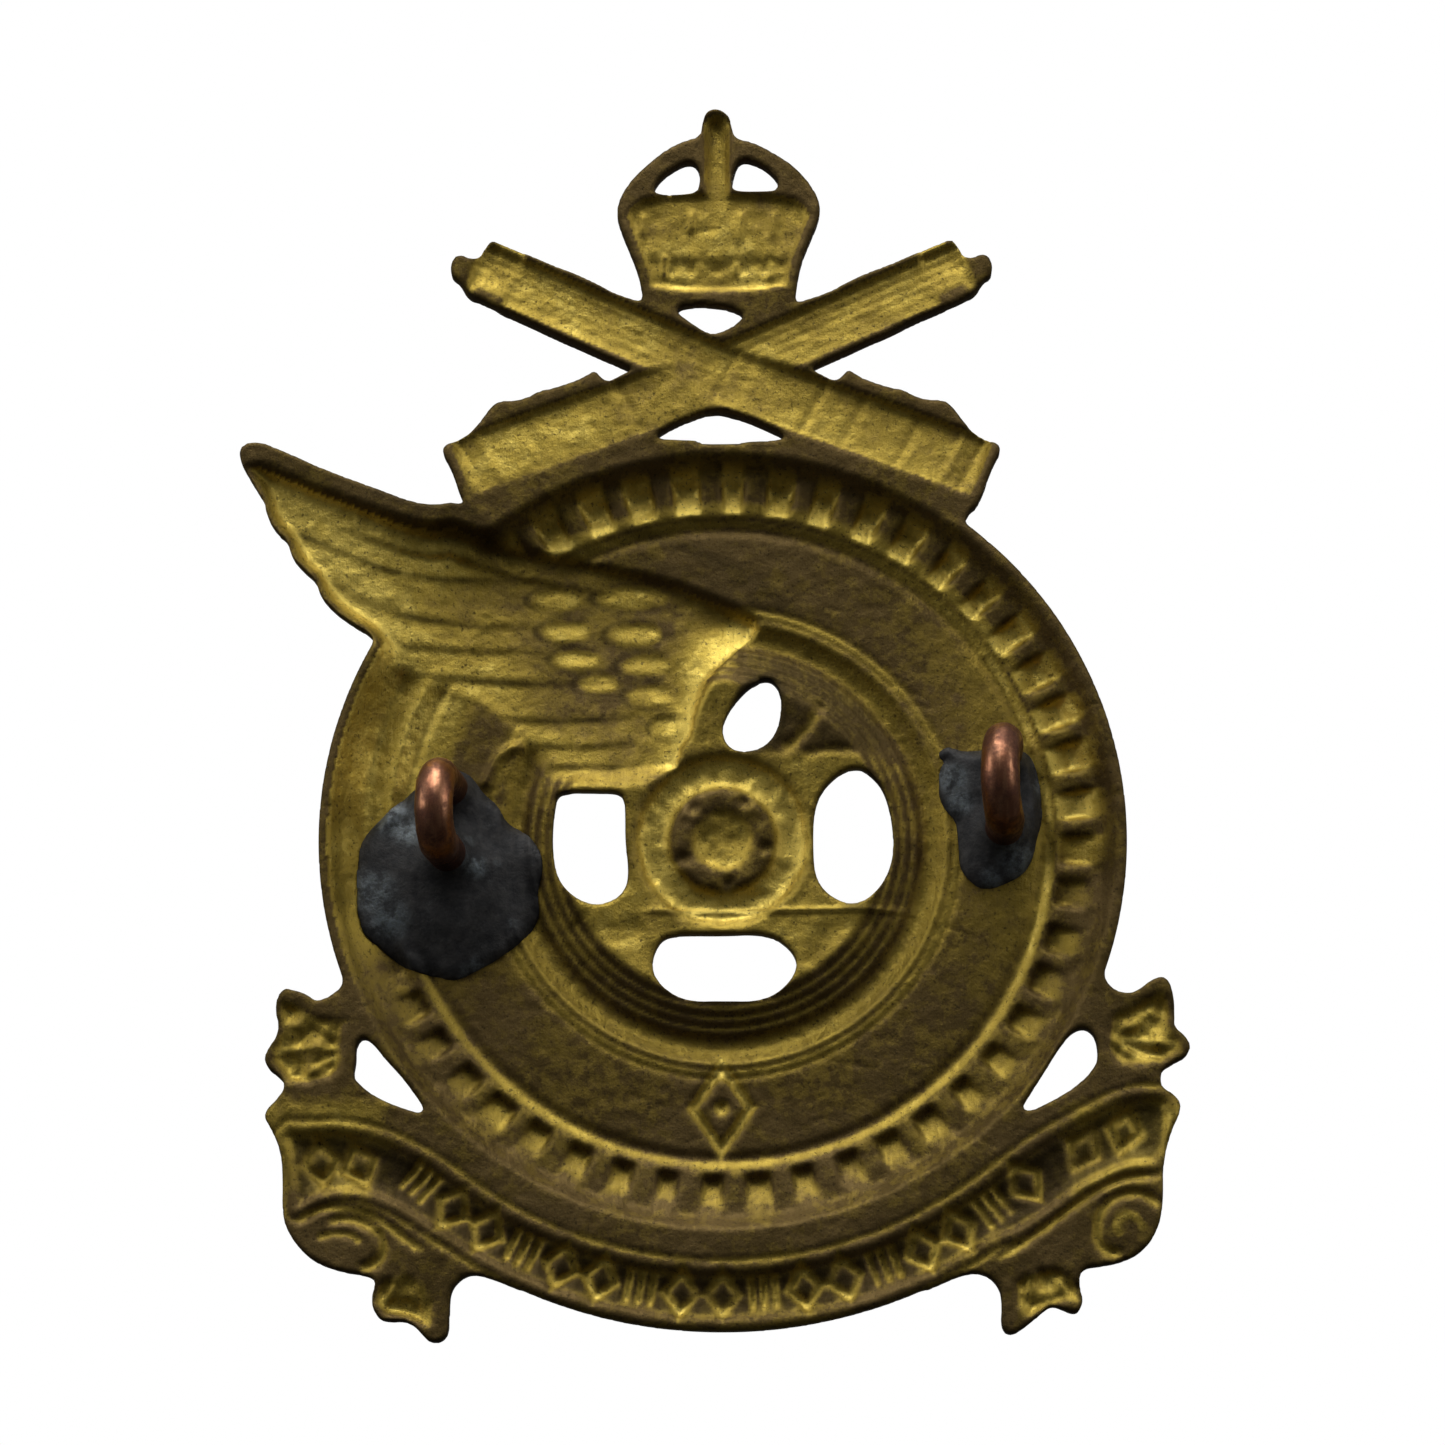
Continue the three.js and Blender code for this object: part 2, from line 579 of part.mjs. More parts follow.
function loopSolid(place) {
  const section = new THREE.Shape();
  for (let i = 0; i < WIRE_SIDES; i += 1) {
    const angle = (2 * Math.PI * i) / WIRE_SIDES;
    const point = [WIRE_RADIUS * Math.cos(angle), WIRE_RADIUS * Math.sin(angle)];
    if (i === 0) section.moveTo(...point);
    else section.lineTo(...point);
  }
  section.closePath();
  const options = { steps: LOOP_STEPS, extrudePath: new LoopPath(place) };
  return solid(new THREE.ExtrudeGeometry(section, options));
}

// A pool of solder lying in the hollows behind the tyre, with room for the loop's legs.
function solderSolid(points, place) {
  const options = {
    depth: SOLDER_TOP - DEEP - SOLDER_ROUND.depth,
    bevelThickness: SOLDER_ROUND.depth,
    bevelSize: SOLDER_ROUND.width,
    bevelOffset: -SOLDER_ROUND.width,
    bevelSegments: SOLDER_ROUND.steps,
  };
  const geometry = new THREE.ExtrudeGeometry(polygon(points), options);
  geometry.rotateX(Math.PI / 2);
  geometry.translate(0, SOLDER_TOP - SOLDER_ROUND.depth, 0);
  const space = hollows.translate(0, GAP, 0).add(prism(disc(0, 0, WHEEL_RADIUS), FAR_BACK, GAP));
  const legs = [-1, 1].map((side) => {
    const hole = disc(place.x, place.z + side * legOffset(), WIRE_RADIUS + GAP);
    return new THREE.ExtrudeGeometry(hole, { depth: 2 * -DEEP, bevelEnabled: false });
  });
  for (const leg of legs) {
    leg.rotateX(Math.PI / 2);
    leg.translate(0, -DEEP, 0);
  }
  return solid(geometry).intersect(space).subtract(join(legs.map((leg) => solid(leg))));
}

// ---- The badge ----

const BRASS = { color: 0x9a8136, roughness: 0.42, metalness: 1 };
const COPPER = { color: 0xa4694a, roughness: 0.4, metalness: 1 };
const SOLDER = { color: 0x34383c, roughness: 0.55, metalness: 0.7 };

const badge = new THREE.Group();
badge.add(
  meshOf('badge_plate', plateSolid(), BRASS),
  meshOf('loop_left', loopSolid(LOOP_LEFT), COPPER),
  meshOf('loop_right', loopSolid(LOOP_RIGHT), COPPER),
  meshOf('solder_left', solderSolid(SOLDER_LEFT, LOOP_LEFT), SOLDER),
  meshOf('solder_right', solderSolid(SOLDER_RIGHT, LOOP_RIGHT), SOLDER),
);

export default badge;
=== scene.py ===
import math

import bpy
import numpy as np
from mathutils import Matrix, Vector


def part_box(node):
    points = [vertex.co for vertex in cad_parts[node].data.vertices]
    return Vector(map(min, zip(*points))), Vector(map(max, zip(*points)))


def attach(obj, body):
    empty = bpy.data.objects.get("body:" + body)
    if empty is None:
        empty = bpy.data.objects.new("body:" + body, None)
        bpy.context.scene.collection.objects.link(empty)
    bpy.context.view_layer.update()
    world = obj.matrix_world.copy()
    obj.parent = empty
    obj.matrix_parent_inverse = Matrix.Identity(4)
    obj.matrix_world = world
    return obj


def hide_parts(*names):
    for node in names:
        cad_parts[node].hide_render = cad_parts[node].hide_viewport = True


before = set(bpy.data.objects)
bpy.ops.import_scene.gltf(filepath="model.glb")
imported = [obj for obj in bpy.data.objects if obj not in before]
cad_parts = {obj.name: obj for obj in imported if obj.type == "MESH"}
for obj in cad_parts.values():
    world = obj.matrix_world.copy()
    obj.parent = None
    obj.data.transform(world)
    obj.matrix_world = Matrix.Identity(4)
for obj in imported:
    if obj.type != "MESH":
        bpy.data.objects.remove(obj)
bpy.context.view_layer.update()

MM = 0.001
PITCH = 0.11  # spacing of the plate's grid
SHEET = 0.9  # thickness of the brass
EDGE_ROUND = 0.12
REACH = 3.0  # distances are not measured further out than this
WHEEL_RADIUS = 16.95
GUN_MIRROR_X = 0.05

XS = np.arange(-20.6, 21.3, PITCH)
ZS = np.arange(-22.3, 32.5, PITCH)
X, Z = np.meshgrid(XS, ZS)
RADIUS = np.hypot(X, Z)
TURN = np.degrees(np.arctan2(Z, X))  # 0 to the right, 90 straight up


# ---- Fields over the grid ----


def ramp(low, high, value):
    """0 up to low and 1 from high, smooth between them. With low above high it falls instead."""
    t = np.clip((value - low) / (high - low), 0, 1)
    return t * t * (3 - 2 * t)


def smooth_max(a, b, k):
    h = np.clip(k - np.abs(a - b), 0, None) / k
    return np.maximum(a, b) + h * h * k / 4


def value_noise(x, z, wavelength, seed):
    lattice = np.random.default_rng(seed).uniform(-1, 1, (256, 256))
    u, v = x / wavelength + 900, z / wavelength + 900
    i, j = np.floor(u).astype(int), np.floor(v).astype(int)
    fu, fv = u - i, v - j
    fu, fv = fu * fu * (3 - 2 * fu), fv * fv * (3 - 2 * fv)
    i0, i1, j0, j1 = i % 256, (i + 1) % 256, j % 256, (j + 1) % 256
    low = lattice[j0, i0] * (1 - fu) + lattice[j0, i1] * fu
    high = lattice[j1, i0] * (1 - fu) + lattice[j1, i1] * fu
    return low * (1 - fv) + high * fv


def layered_noise(x, z, wavelength, seed):
    """Three layers of noise, each with half the wavelength and strength of the one before."""
    total = 0
    for layer in range(3):
        total = total + value_noise(x, z, wavelength / 2**layer, seed + layer) / 2**layer
    return total / (1 + 1 / 2 + 1 / 4)


def blurred(field, radius):
    """A Gaussian blur, its radius in grid steps."""
    reach = int(math.ceil(3 * radius))
    weights = np.exp(-0.5 * (np.arange(-reach, reach + 1) / radius) ** 2)
    weights /= weights.sum()
    for axis in (0, 1):
        padding = [(0, 0), (0, 0)]
        padding[axis] = (reach, reach)
        padded = np.pad(field, padding, mode="edge")
        count = field.shape[axis]
        parts = (
            w * np.take(padded, np.arange(k, k + count), axis) for k, w in enumerate(weights)
        )
        field = sum(parts)
    return field


def spread(field, radius):
    """Each point takes the largest value within the radius, in grid steps."""
    reach = int(math.ceil(radius))
    padded = np.pad(field, reach, mode="edge")
    rows, columns = field.shape
    result = field.copy()
    for dj in range(-reach, reach + 1):
        for di in range(-reach, reach + 1):
            if dj * dj + di * di <= radius * radius:
                part = padded[reach + dj : reach + dj + rows, reach + di : reach + di + columns]
                result = np.maximum(result, part)
    return result


def rounded(points, times=2, closed=True):
    """The outline with its corners cut, each time at a quarter of both sides."""
    points = np.asarray(points, float)
    for _ in range(times):
        ahead = np.roll(points, -1, axis=0)
        near = points * 0.75 + ahead * 0.25
        far = points * 0.25 + ahead * 0.75
        cut = np.stack([near, far], axis=1).reshape(-1, 2)
        if not closed:
            cut = np.vstack([points[:1], cut[:-2], points[-1:]])
        points = cut
    return points


def window_of(points, reach):
    low, high = points.min(0) - reach, points.max(0) + reach
    i0, i1 = np.searchsorted(XS, [low[0], high[0]])
    j0, j1 = np.searchsorted(ZS, [low[1], high[1]])
    return slice(j0, j1), slice(i0, i1)


def inside_distance(points, times=2, reach=REACH):
    """Distance to a closed outline, positive inside it."""
    points = rounded(points, times)
    part = window_of(points, reach)
    px, pz = X[part], Z[part]
    nearest = np.full(px.shape, np.inf)
    inside = np.zeros(px.shape, bool)
    for (x0, z0), (x1, z1) in zip(points, np.roll(points, -1, axis=0)):
        dx, dz = x1 - x0, z1 - z0
        t = np.clip(((px - x0) * dx + (pz - z0) * dz) / (dx * dx + dz * dz + 1e-12), 0, 1)
        nearest = np.minimum(nearest, (px - x0 - t * dx) ** 2 + (pz - z0 - t * dz) ** 2)
        if z0 != z1:
            crossing = ((z0 > pz) != (z1 > pz)) & (px < dx * (pz - z0) / dz + x0)
            inside ^= crossing
    field = np.full(X.shape, -reach)
    distance = np.sqrt(nearest)
    field[part] = np.maximum(np.where(inside, distance, -distance), -reach)
    return field


def line_distance(points, times=2, reach=REACH):
    """Distance to an open line, and how far along it the nearest point is, from 0 to 1."""
    points = rounded(points, times, closed=False)
    part = window_of(points, reach)
    px, pz = X[part], Z[part]
    nearest = np.full(px.shape, reach * reach)
    along = np.zeros(px.shape)
    lengths = np.hypot(*np.diff(points, axis=0).T)
    total = lengths.sum()
    start = 0.0
    for (x0, z0), (x1, z1), length in zip(points, points[1:], lengths):
        dx, dz = x1 - x0, z1 - z0
        t = np.clip(((px - x0) * dx + (pz - z0) * dz) / (length * length + 1e-12), 0, 1)
        square = (px - x0 - t * dx) ** 2 + (pz - z0 - t * dz) ** 2
        closer = square < nearest
        nearest = np.where(closer, square, nearest)
        along = np.where(closer, (start + t * length) / total, along)
        start += length
    distance, place = np.full(X.shape, reach), np.zeros(X.shape)
    distance[part], place[part] = np.sqrt(nearest), along
    return distance, place


def swell(distance, half_width):
    """One on the line, falling smoothly to nothing at the half width."""
    return np.clip(1 - (distance / half_width) ** 2, 0, 1) ** 2


def line_swell(points, half_width, times=2, fade=0.12):
    """A swelling along an open line, which dies away towards both ends."""
    distance, place = line_distance(points, times, reach=half_width + 3 * PITCH)
    ends = ramp(0, fade, place) * ramp(0, fade, 1 - place)
    return swell(distance, half_width) * ends


def mirrored(points):
    return [(2 * GUN_MIRROR_X - x, z) for x, z in points]


def arc(radius, start, end, steps):
    angles = np.radians(np.linspace(start, end, steps))
    return [(radius * math.cos(a), radius * math.sin(a)) for a in angles]


# ---- Outlines ----

CROWN = [
    (-2.65, 22), (-3.1, 23.2), (-3.15, 23.9), (-3.35, 25), (-3.7, 25.9), (-4.1, 26.85), (-4.2, 27.5),
    (-3.85, 28.3), (-3.1, 29.2), (-2.05, 29.9), (-1.25, 30.3), (-0.55, 30.45), (-0.4, 30.9),
    (-0.3, 31.45), (0, 31.7), (0.35, 31.8), (0.7, 31.65), (0.85, 31.25), (0.95, 30.55), (1.65, 30.35),
    (2.35, 30), (3.05, 29.45), (3.8, 28.75), (4.35, 27.95), (4.55, 27.15), (4.35, 26.45), (3.95, 25.5),
    (3.6, 24.55), (3.45, 23.8), (3.4, 23.2), (2.95, 22),
]
CROWN_WINDOWS = [
    [(-2.35, 28.15), (-2.4, 28.65), (-1.9, 29.2), (-1.2, 29.55), (-0.75, 29.55), (-0.45, 29.05),
     (-0.35, 28.25), (-0.7, 28.1), (-1.9, 28.1)],
    [(1, 28.15), (0.95, 29.05), (1.2, 29.45), (1.65, 29.45), (2.25, 29.1), (2.75, 28.65), (3, 28.2),
     (2.75, 27.95), (1.4, 28)],
]
FOOT_WINDOW = [
    (-1, 22.6), (-0.5, 22.95), (0.5, 23.15), (1.7, 23.12), (2.05, 22.8), (1.2, 22.15), (0.45, 21.7),
    (-0.4, 22.05),
]
CROSSING_WINDOW = [
    (-2.75, 17.3), (-1.9, 17.8), (-1, 18.2), (-0.3, 18.42), (0.3, 18.5), (0.9, 18.38), (2, 17.92),
    (2.85, 17.4), (2.7, 17.13), (0, 17.08), (-2.3, 17.05),
]
BARREL_B = [
    (-1, 22.5), (-3.05, 23.1), (-4.45, 23.55), (-5.25, 24), (-6.05, 24.4), (-7.1, 24.8), (-8.1, 25.25),
    (-9.1, 25.7), (-9.75, 25.95), (-10.05, 25.7), (-10.3, 25.2), (-10.65, 25.1), (-11.05, 25.3),
    (-11.4, 25.2), (-11.55, 24.7), (-11.45, 24.35), (-11.1, 24.15), (-10.85, 23.75), (-10.4, 23.4),
    (-9.9, 23.15), (-9.1, 22.85), (-8.1, 22.4), (-7.1, 21.85), (-6.05, 21.4), (-5.25, 21), (-4.35, 20.6),
    (-3.25, 20.1), (-1, 19.2), (1.5, 19.2), (1.5, 21.3),
]
LEDGE_A = [
    (1.4, 20.9), (-2.6, 20.7), (-4.1, 20.05), (-4.45, 19.85), (-4.8, 19.7), (-5.1, 19.9), (-5.35, 20.2),
    (-5.65, 20), (-6.1, 19.75), (-7.1, 19.4), (-7.7, 19.3), (-8.1, 19.05), (-8.7, 18.85), (-9.4, 18.85),
    (-9.75, 18.6), (-10.1, 18.1), (-10.45, 17.65), (-10.7, 17.4), (-11.3, 17.1), (-11.75, 16.9),
    (-11.8, 16.6), (-11.55, 16.2), (-11.3, 15.6), (-11.1, 14.95), (-10.8, 14.3), (-10.4, 13.95),
    (-9.7, 12.6), (-6.1, 14), (-2.1, 16.6), (1.4, 18),
]
WING = [
    (-2.5, 9.7), (-2.3, 10.1), (-1.5, 10.6), (0, 11.3), (2, 12.15), (5, 12.85), (8, 13.4), (10, 13.9),
    (11.3, 14.45), (12.2, 14.3), (13.2, 14.45), (15, 15.15), (17, 15.9), (18.6, 16.65), (19.7, 17.1),
    (20.4, 17), (20.6, 16.45), (20, 15.4), (19.45, 14.55), (19.35, 13.9), (18.9, 13.2), (18.45, 12.85),
    (18.3, 12.2), (17.8, 11.6), (17.25, 11.15), (17.05, 10.5), (16.5, 9.85), (15.6, 9.2), (14.9, 8.8),
    (14.45, 8.2), (13.9, 7.15), (12.5, 6.6), (10.6, 5.9), (9.3, 5), (8.5, 4), (7.7, 3), (7.3, 2.3),
    (4.1, 2.3), (1, 3.2), (0.35, 4.2), (0.2, 5.2), (-0.1, 6.2), (-0.8, 7.1), (-1.7, 7.9), (-2.4, 8.8),
]
# The wing's upper edge and shoulder, closed far below, for the broad slope behind them
WING_UPPER = WING[:16] + [(24, 18.5), (24, -6), (1.0, -6)] + WING[-7:]
LOWER_LEFT = [
    (-15.45, -5.5), (-15.95, -6.1), (-16.35, -6.55), (-16.95, -6.7), (-17.4, -6.5), (-17.9, -6.1),
    (-18.35, -5.95), (-18.65, -6.2), (-18.8, -6.8), (-18.85, -7.5), (-18.8, -8.1), (-19.25, -8.45),
    (-19.5, -8.9), (-19.3, -9.3), (-18.8, -9.55), (-18.3, -9.85), (-18.2, -10.25), (-18.25, -10.6),
    (-18.75, -10.9), (-19.05, -11.3), (-18.95, -11.8), (-18.65, -12.4), (-18.4, -13.2), (-18.25, -14.1),
    (-18.25, -15), (-18.2, -15.7), (-18.05, -16.4), (-17.75, -17), (-17.25, -17.5), (-16.65, -17.8),
    (-15.85, -18), (-15, -18.1), (-14.75, -18.4), (-14.75, -19), (-14.9, -19.5), (-14.7, -19.95),
    (-14.45, -20), (-14, -19.8), (-13.65, -19.65), (-13.3, -19.85), (-12.9, -20.2), (-12.4, -20.6),
    (-12, -20.85), (-11.65, -20.8), (-11.5, -20.4), (-11.55, -19.7), (-11.5, -19.1), (-11.25, -18.65),
    (-10.8, -18.35), (-10.2, -18.3), (-9.4, -18.5), (-8.2, -19), (-6.95, -16.9), (-11.9, -9),
]
LOWER_RIGHT = [
    (15.35, -5.5), (15.75, -6.2), (16.15, -6.6), (16.65, -6.9), (17, -6.95), (17.4, -6.65), (17.9, -6.5),
    (18.3, -6.4), (18.6, -6.8), (18.65, -7.4), (18.5, -8), (18.6, -8.5), (18.9, -8.9), (19.1, -9.35),
    (18.95, -9.75), (18.6, -10), (18.25, -10.35), (18.25, -10.7), (18.55, -11.1), (18.95, -11.5),
    (19.05, -11.85), (18.8, -12.25), (18.5, -12.85), (18.3, -13.6), (18.25, -14.5), (18.25, -15.7),
    (18.1, -16.4), (17.75, -17), (17.3, -17.5), (16.75, -17.9), (15.7, -18.25), (14.9, -18.35),
    (14.45, -18.5), (14.35, -18.85), (14.5, -19.3), (14.45, -19.8), (14.2, -20.2), (13.75, -20.3),
    (13.2, -20.25), (12.75, -20.45), (12.4, -20.85), (12.1, -21.15), (11.6, -21.15), (11.3, -20.75),
    (11.3, -19.8), (11.25, -19.1), (11, -18.7), (10.6, -18.4), (10.1, -18.35), (9.2, -18.55),
    (8.2, -18.9), (6.95, -16.9), (11.9, -9),
]
OPENINGS = [
    [(-15.5, -8.35), (-15.05, -8.05), (-14.5, -8.3), (-14, -8.95), (-13.5, -9.75), (-13, -10.55),
     (-12.6, -11.15), (-12.45, -11.5), (-12.75, -11.65), (-13.6, -11.25), (-14.4, -10.8), (-15.1, -10.25),
     (-15.6, -9.6), (-15.65, -9)],
    [(12.4, -11.45), (12.55, -11.7), (13.3, -11.48), (14.2, -11.12), (15, -10.6), (15.42, -10.1),
     (15.28, -9.5), (15.3, -8.85), (15.05, -8.45), (14.65, -8.6), (14.1, -9.3), (13.4, -10.05),
     (12.9, -10.7)],
]
WHEEL_WINDOWS = [
    [(-7.2, 0.1), (-7.1, 1.1), (-6.8, 2.2), (-6.25, 2.85), (-5.65, 3.1), (-4.95, 2.9), (-4.2, 2.2),
     (-3.85, 1.3), (-3.8, -0.1), (-3.85, -1.4), (-4.15, -2.1), (-4.85, -2.65), (-5.55, -2.8),
     (-6.25, -2.5), (-6.85, -1.7), (-7.15, -0.8)],
    [(4.1, 1.1), (4.15, 1.8), (4.45, 2.1), (5.55, 2.1), (6.85, 2.1), (7.05, 1.8), (7.2, 0.3), (7.1, -1),
     (6.85, -1.8), (6.25, -2.5), (5.35, -2.85), (4.55, -2.6), (4.05, -2.1), (3.95, -1.3), (4.1, -0.1)],
    [(-3.15, -5.3), (-2.9, -4.7), (-2.25, -4.15), (-1.35, -3.95), (-0.05, -4), (2.15, -4), (2.7, -4.35),
     (3, -5.2), (2.8, -6), (2.15, -6.6), (1.25, -6.9), (-0.05, -6.9), (-1.35, -6.9), (-2.25, -6.6),
     (-2.9, -6)],
    [(-2.5, 6), (-2.3, 6.7), (-1.9, 7), (-1.35, 6.75), (-0.65, 6.1), (-0.15, 5.4), (0.05, 4.7),
     (-0.15, 4.05), (-0.65, 3.75), (-1.35, 3.8), (-2, 4.15), (-2.4, 4.9)],
]
SCROLL_FIELD = (
    [(-18.7, -11.15), (-17.6, -10.9), (-16.6, -11.1), (-15.5, -11.6), (-14.3, -12.25),
     (-13, -13.05), (-12, -13.75)]
    + arc(18.25, -128, -52, 20)
    + [(12, -13.85), (13, -13.25), (14, -12.8), (15, -12.5), (16, -12.35), (17, -12.4),
       (18.3, -12.35), (18.0, -13.6), (17.85, -15.0), (17.7, -15.9), (17.0, -15.25),
       (16, -14.95), (15, -14.95), (14, -15.3), (13, -15.85), (12, -16.5)]
    + arc(20.35, -56, -124, 20)
    + [(-12, -16.75), (-13, -16.15), (-14, -15.45), (-15, -14.75), (-16, -14.2),
       (-17, -13.85), (-18.35, -13.8)]
)
CROWN_FIELD = [
    (-3.85, 27.2), (-3, 28), (0.2, 28.15), (3.3, 28), (4.2, 27.2), (4, 26.4), (3.65, 25.5), (3.3, 24.7),
    (3.15, 23.55), (-2.85, 23.55), (-2.95, 24.7), (-3.25, 25.5), (-3.6, 26.4),
]
LEAF_FIELDS = [
    [(-16.1, -7.4), (-17.2, -7), (-18.5, -6.2), (-18.9, -7.2), (-18.85, -8.2), (-19.5, -8.9),
     (-18.5, -9.75), (-17.5, -9.9), (-16.3, -9.9), (-15.85, -9.2), (-15.9, -8.2)],
    [(15.3, -7.6), (16.2, -7.5), (17, -7.4), (17.6, -7), (18.5, -6.6), (18.7, -7.5), (18.6, -8.4),
     (19.1, -9.2), (18.5, -10.2), (18, -10.6), (17, -10.6), (16, -10.3), (15.6, -9.2), (15.7, -8.3)],
    [(-14.95, -18.6), (-15, -19.95), (-13.9, -19.65), (-12.2, -20.8), (-11.85, -19.3), (-12, -18.4),
     (-13.5, -17.8)],
    [(11.75, -19), (11.7, -21), (13, -20.4), (14.3, -20.2), (14.6, -19.3), (14.2, -18.4), (13, -18)],
]
LEAF_VEINS = [
    [(-16, -8.6), (-17.4, -7.9), (-18.5, -6.5)],
    [(-16, -8.6), (-17.8, -8.7), (-19.3, -8.9)],
    [(-16, -8.6), (-17.2, -9.3), (-18.3, -9.6)],
    [(15.9, -8.6), (17.2, -7.8), (18.4, -6.8)],
    [(15.9, -9), (17.5, -8.9), (18.9, -9.3)],
    [(15.9, -9.2), (17, -9.9), (17.9, -10.5)],
    [(-13.2, -17.9), (-13.9, -18.9), (-14.8, -19.8)],
    [(-13, -17.9), (-12.6, -19.2), (-12.2, -20.6)],
    [(12.8, -18.1), (12.3, -19.4), (12, -20.9)],
    [(13.2, -18.1), (13.7, -19.2), (14.4, -20)],
]


SCROLL_INNER, SCROLL_OUTER = 15.5, 20.72
SCROLL_HALF_ANGLE = 32
JOIN_ROUND = 0.35  # fillet where two outlines meet
WINDOW_ROUND = 0.15


def silhouette():
    """Distance to the badge's own edge, positive on the metal."""
    angle_down = np.degrees(np.arctan2(X, -Z))
    band = np.minimum(SCROLL_OUTER - RADIUS, RADIUS - SCROLL_INNER)
    band = np.where(np.abs(angle_down) < SCROLL_HALF_ANGLE, band, -REACH)
    fields = [
        band,
        inside_distance(CROWN, 1),
        inside_distance(BARREL_B, 1),
        inside_distance(mirrored(BARREL_B), 1),
        inside_distance(LEDGE_A, 1),
        inside_distance(mirrored(LEDGE_A), 1),
        inside_distance(WING, 1),
        inside_distance(LOWER_LEFT, 1),
        inside_distance(LOWER_RIGHT, 1),
    ]
    metal = WHEEL_RADIUS - RADIUS
    for field in fields:
        metal = smooth_max(metal, field, JOIN_ROUND)
    for points in CROWN_WINDOWS + [FOOT_WINDOW, CROSSING_WINDOW] + OPENINGS + WHEEL_WINDOWS:
        metal = -smooth_max(-metal, inside_distance(points, 2), WINDOW_ROUND)
    return metal


# ---- Relief: how deep the hollow is, behind each raised form of the front ----

WHEEL_SECTION = [
    (0, 1.14), (0.7, 1.14), (1.1, 1.08), (1.35, 0.86), (1.6, 0.8), (2.05, 0.8), (2.3, 1.1), (2.6, 1.26),
    (3, 1.3), (3.4, 1.16), (3.65, 0.86), (3.8, 0.76), (4.2, 0.76), (5.6, 0.66), (6.6, 0.52), (6.85, 0.55),
    (7.1, 0.9), (7.28, 0.76), (7.52, 1.16), (7.7, 1), (7.94, 1.4), (8.12, 1.24), (8.34, 1.6), (8.6, 1.72),
    (8.9, 1.7), (9.2, 1.5), (9.45, 1.24), (9.55, 1.2), (9.7, 1.4), (9.86, 1.2), (10.04, 1.42),
    (10.2, 1.28), (10.4, 1.28), (13.15, 1.3), (13.4, 1.46), (13.56, 1.42), (13.85, 1.2), (14, 1.2),
]
RIM_LAND = [(14, 1.1), (14.3, 1.05), (15.9, 0.9), (16.15, 0.7), (16.4, 0.06), (16.6, 0)]
# The pockets slope the other way at the bottom of the wheel
RIM_POCKET_TOP = [
    (14, 1.05), (14.12, 1.05), (15, 1.5), (15.2, 1.52), (15.4, 1.42), (16.2, 0.6), (16.4, 0.1), (16.6, 0),
    (17.5, 0),
]
RIM_POCKET_LOW = [
    (14, 1.05), (14.1, 1.1), (14.35, 1.45), (14.6, 1.5), (16.1, 0.6), (16.4, 0.1), (16.6, 0), (17.5, 0),
]
LUG_COUNT = 48
LUG_PHASE = 91.6
POCKET_START = 14.0  # radius at which the tread begins
BOLT_COUNT = 5
BOLT_RING = 1.88
BOLT_PHASE = -97
SECTION_STEP = 0.02  # a section is tabled at this step and smoothed over this many of them
SECTION_SMOOTH = 11


SPOKE_LINES = [
    ([(-4.2, 5.9), (-3.8, 5.1), (-3.2, 4.3), (-2.4, 3.8)], 0.38, 0.2),
    ([(-6, 3.75), (-5.2, 3.85), (-4.2, 3.85), (-3.3, 3.6)], 0.3, 0.12),
    ([(-6.5, -3.2), (-5.3, -3.6), (-4.3, -4.3), (-3.6, -5.7)], 0.8, 0.12),
    ([(3.2, -3.7), (4.3, -4.1), (5.6, -3.9), (6.3, -3.3)], 0.8, 0.12),
    ([(8.3, 4.2), (9.3, 3.9), (9.8, 3), (10.1, 2.2)], 0.3, -0.3),
]


def by_radius(section, radius):
    radii, depths = zip(*section)
    fine = np.arange(0, 18, SECTION_STEP)
    table = np.interp(fine, radii, depths)
    kernel = np.hanning(SECTION_SMOOTH)
    kernel /= kernel.sum()
    table = np.convolve(np.pad(table, SECTION_SMOOTH // 2, mode="edge"), kernel, mode="valid")
    return np.interp(radius, fine, table)


def wheel_relief():
    depth = by_radius(WHEEL_SECTION, RADIUS)
    wave = np.cos(np.radians((TURN - LUG_PHASE) * LUG_COUNT))
    wave = wave + 0.35 * value_noise(TURN, RADIUS, 5.0, 3)
    pocket = ramp(-0.6, 0.3, wave)
    # To the right, about level with the hub, the pockets run together with no partitions
    plain = ramp(-32, -18, TURN) * (1 - ramp(24, 36, TURN))
    pocket = np.maximum(pocket, plain)
    top = ramp(-4, 4, Z)
    pocket_depth = by_radius(RIM_POCKET_TOP, RADIUS) * top + by_radius(RIM_POCKET_LOW, RADIUS) * (1 - top)
    rim = by_radius(RIM_LAND, RADIUS) * (1 - pocket) + pocket_depth * pocket
    depth = np.where(RADIUS > POCKET_START, rim, depth)
    for k in range(BOLT_COUNT):
        angle = math.radians(BOLT_PHASE + 360 / BOLT_COUNT * k)
        x, z = BOLT_RING * math.cos(angle), BOLT_RING * math.sin(angle)
        depth = depth + 0.26 * swell(np.hypot(X - x, Z - z), 0.42)
    hub = 1 - ramp(3.4, 4.0, RADIUS)
    depth = depth + 0.08 * hub * layered_noise(X, Z, 0.8, 11) + 0.04 * hub * value_noise(X, Z, 0.4, 15)
    for points, width, deep in SPOKE_LINES:
        depth = depth + deep * line_swell(points, width)
    # The pockets are painted bright, partly as worn clean and partly as a painted highlight; the partitions
    # and the outer land are not
    worn_and_lit = pocket * (1 - plain) * ramp(14.0, 14.15, RADIUS) * (1 - ramp(16.2, 16.4, RADIUS))
    inner_low = ramp(14.2, 14.6, RADIUS) * ramp(15.9, 15.2, RADIUS)
    inner = top * ramp(16.5, 15.6, RADIUS) + 0.4 * (1 - top) * inner_low
    return np.where(RADIUS < WHEEL_RADIUS, depth, 0), worn_and_lit * inner


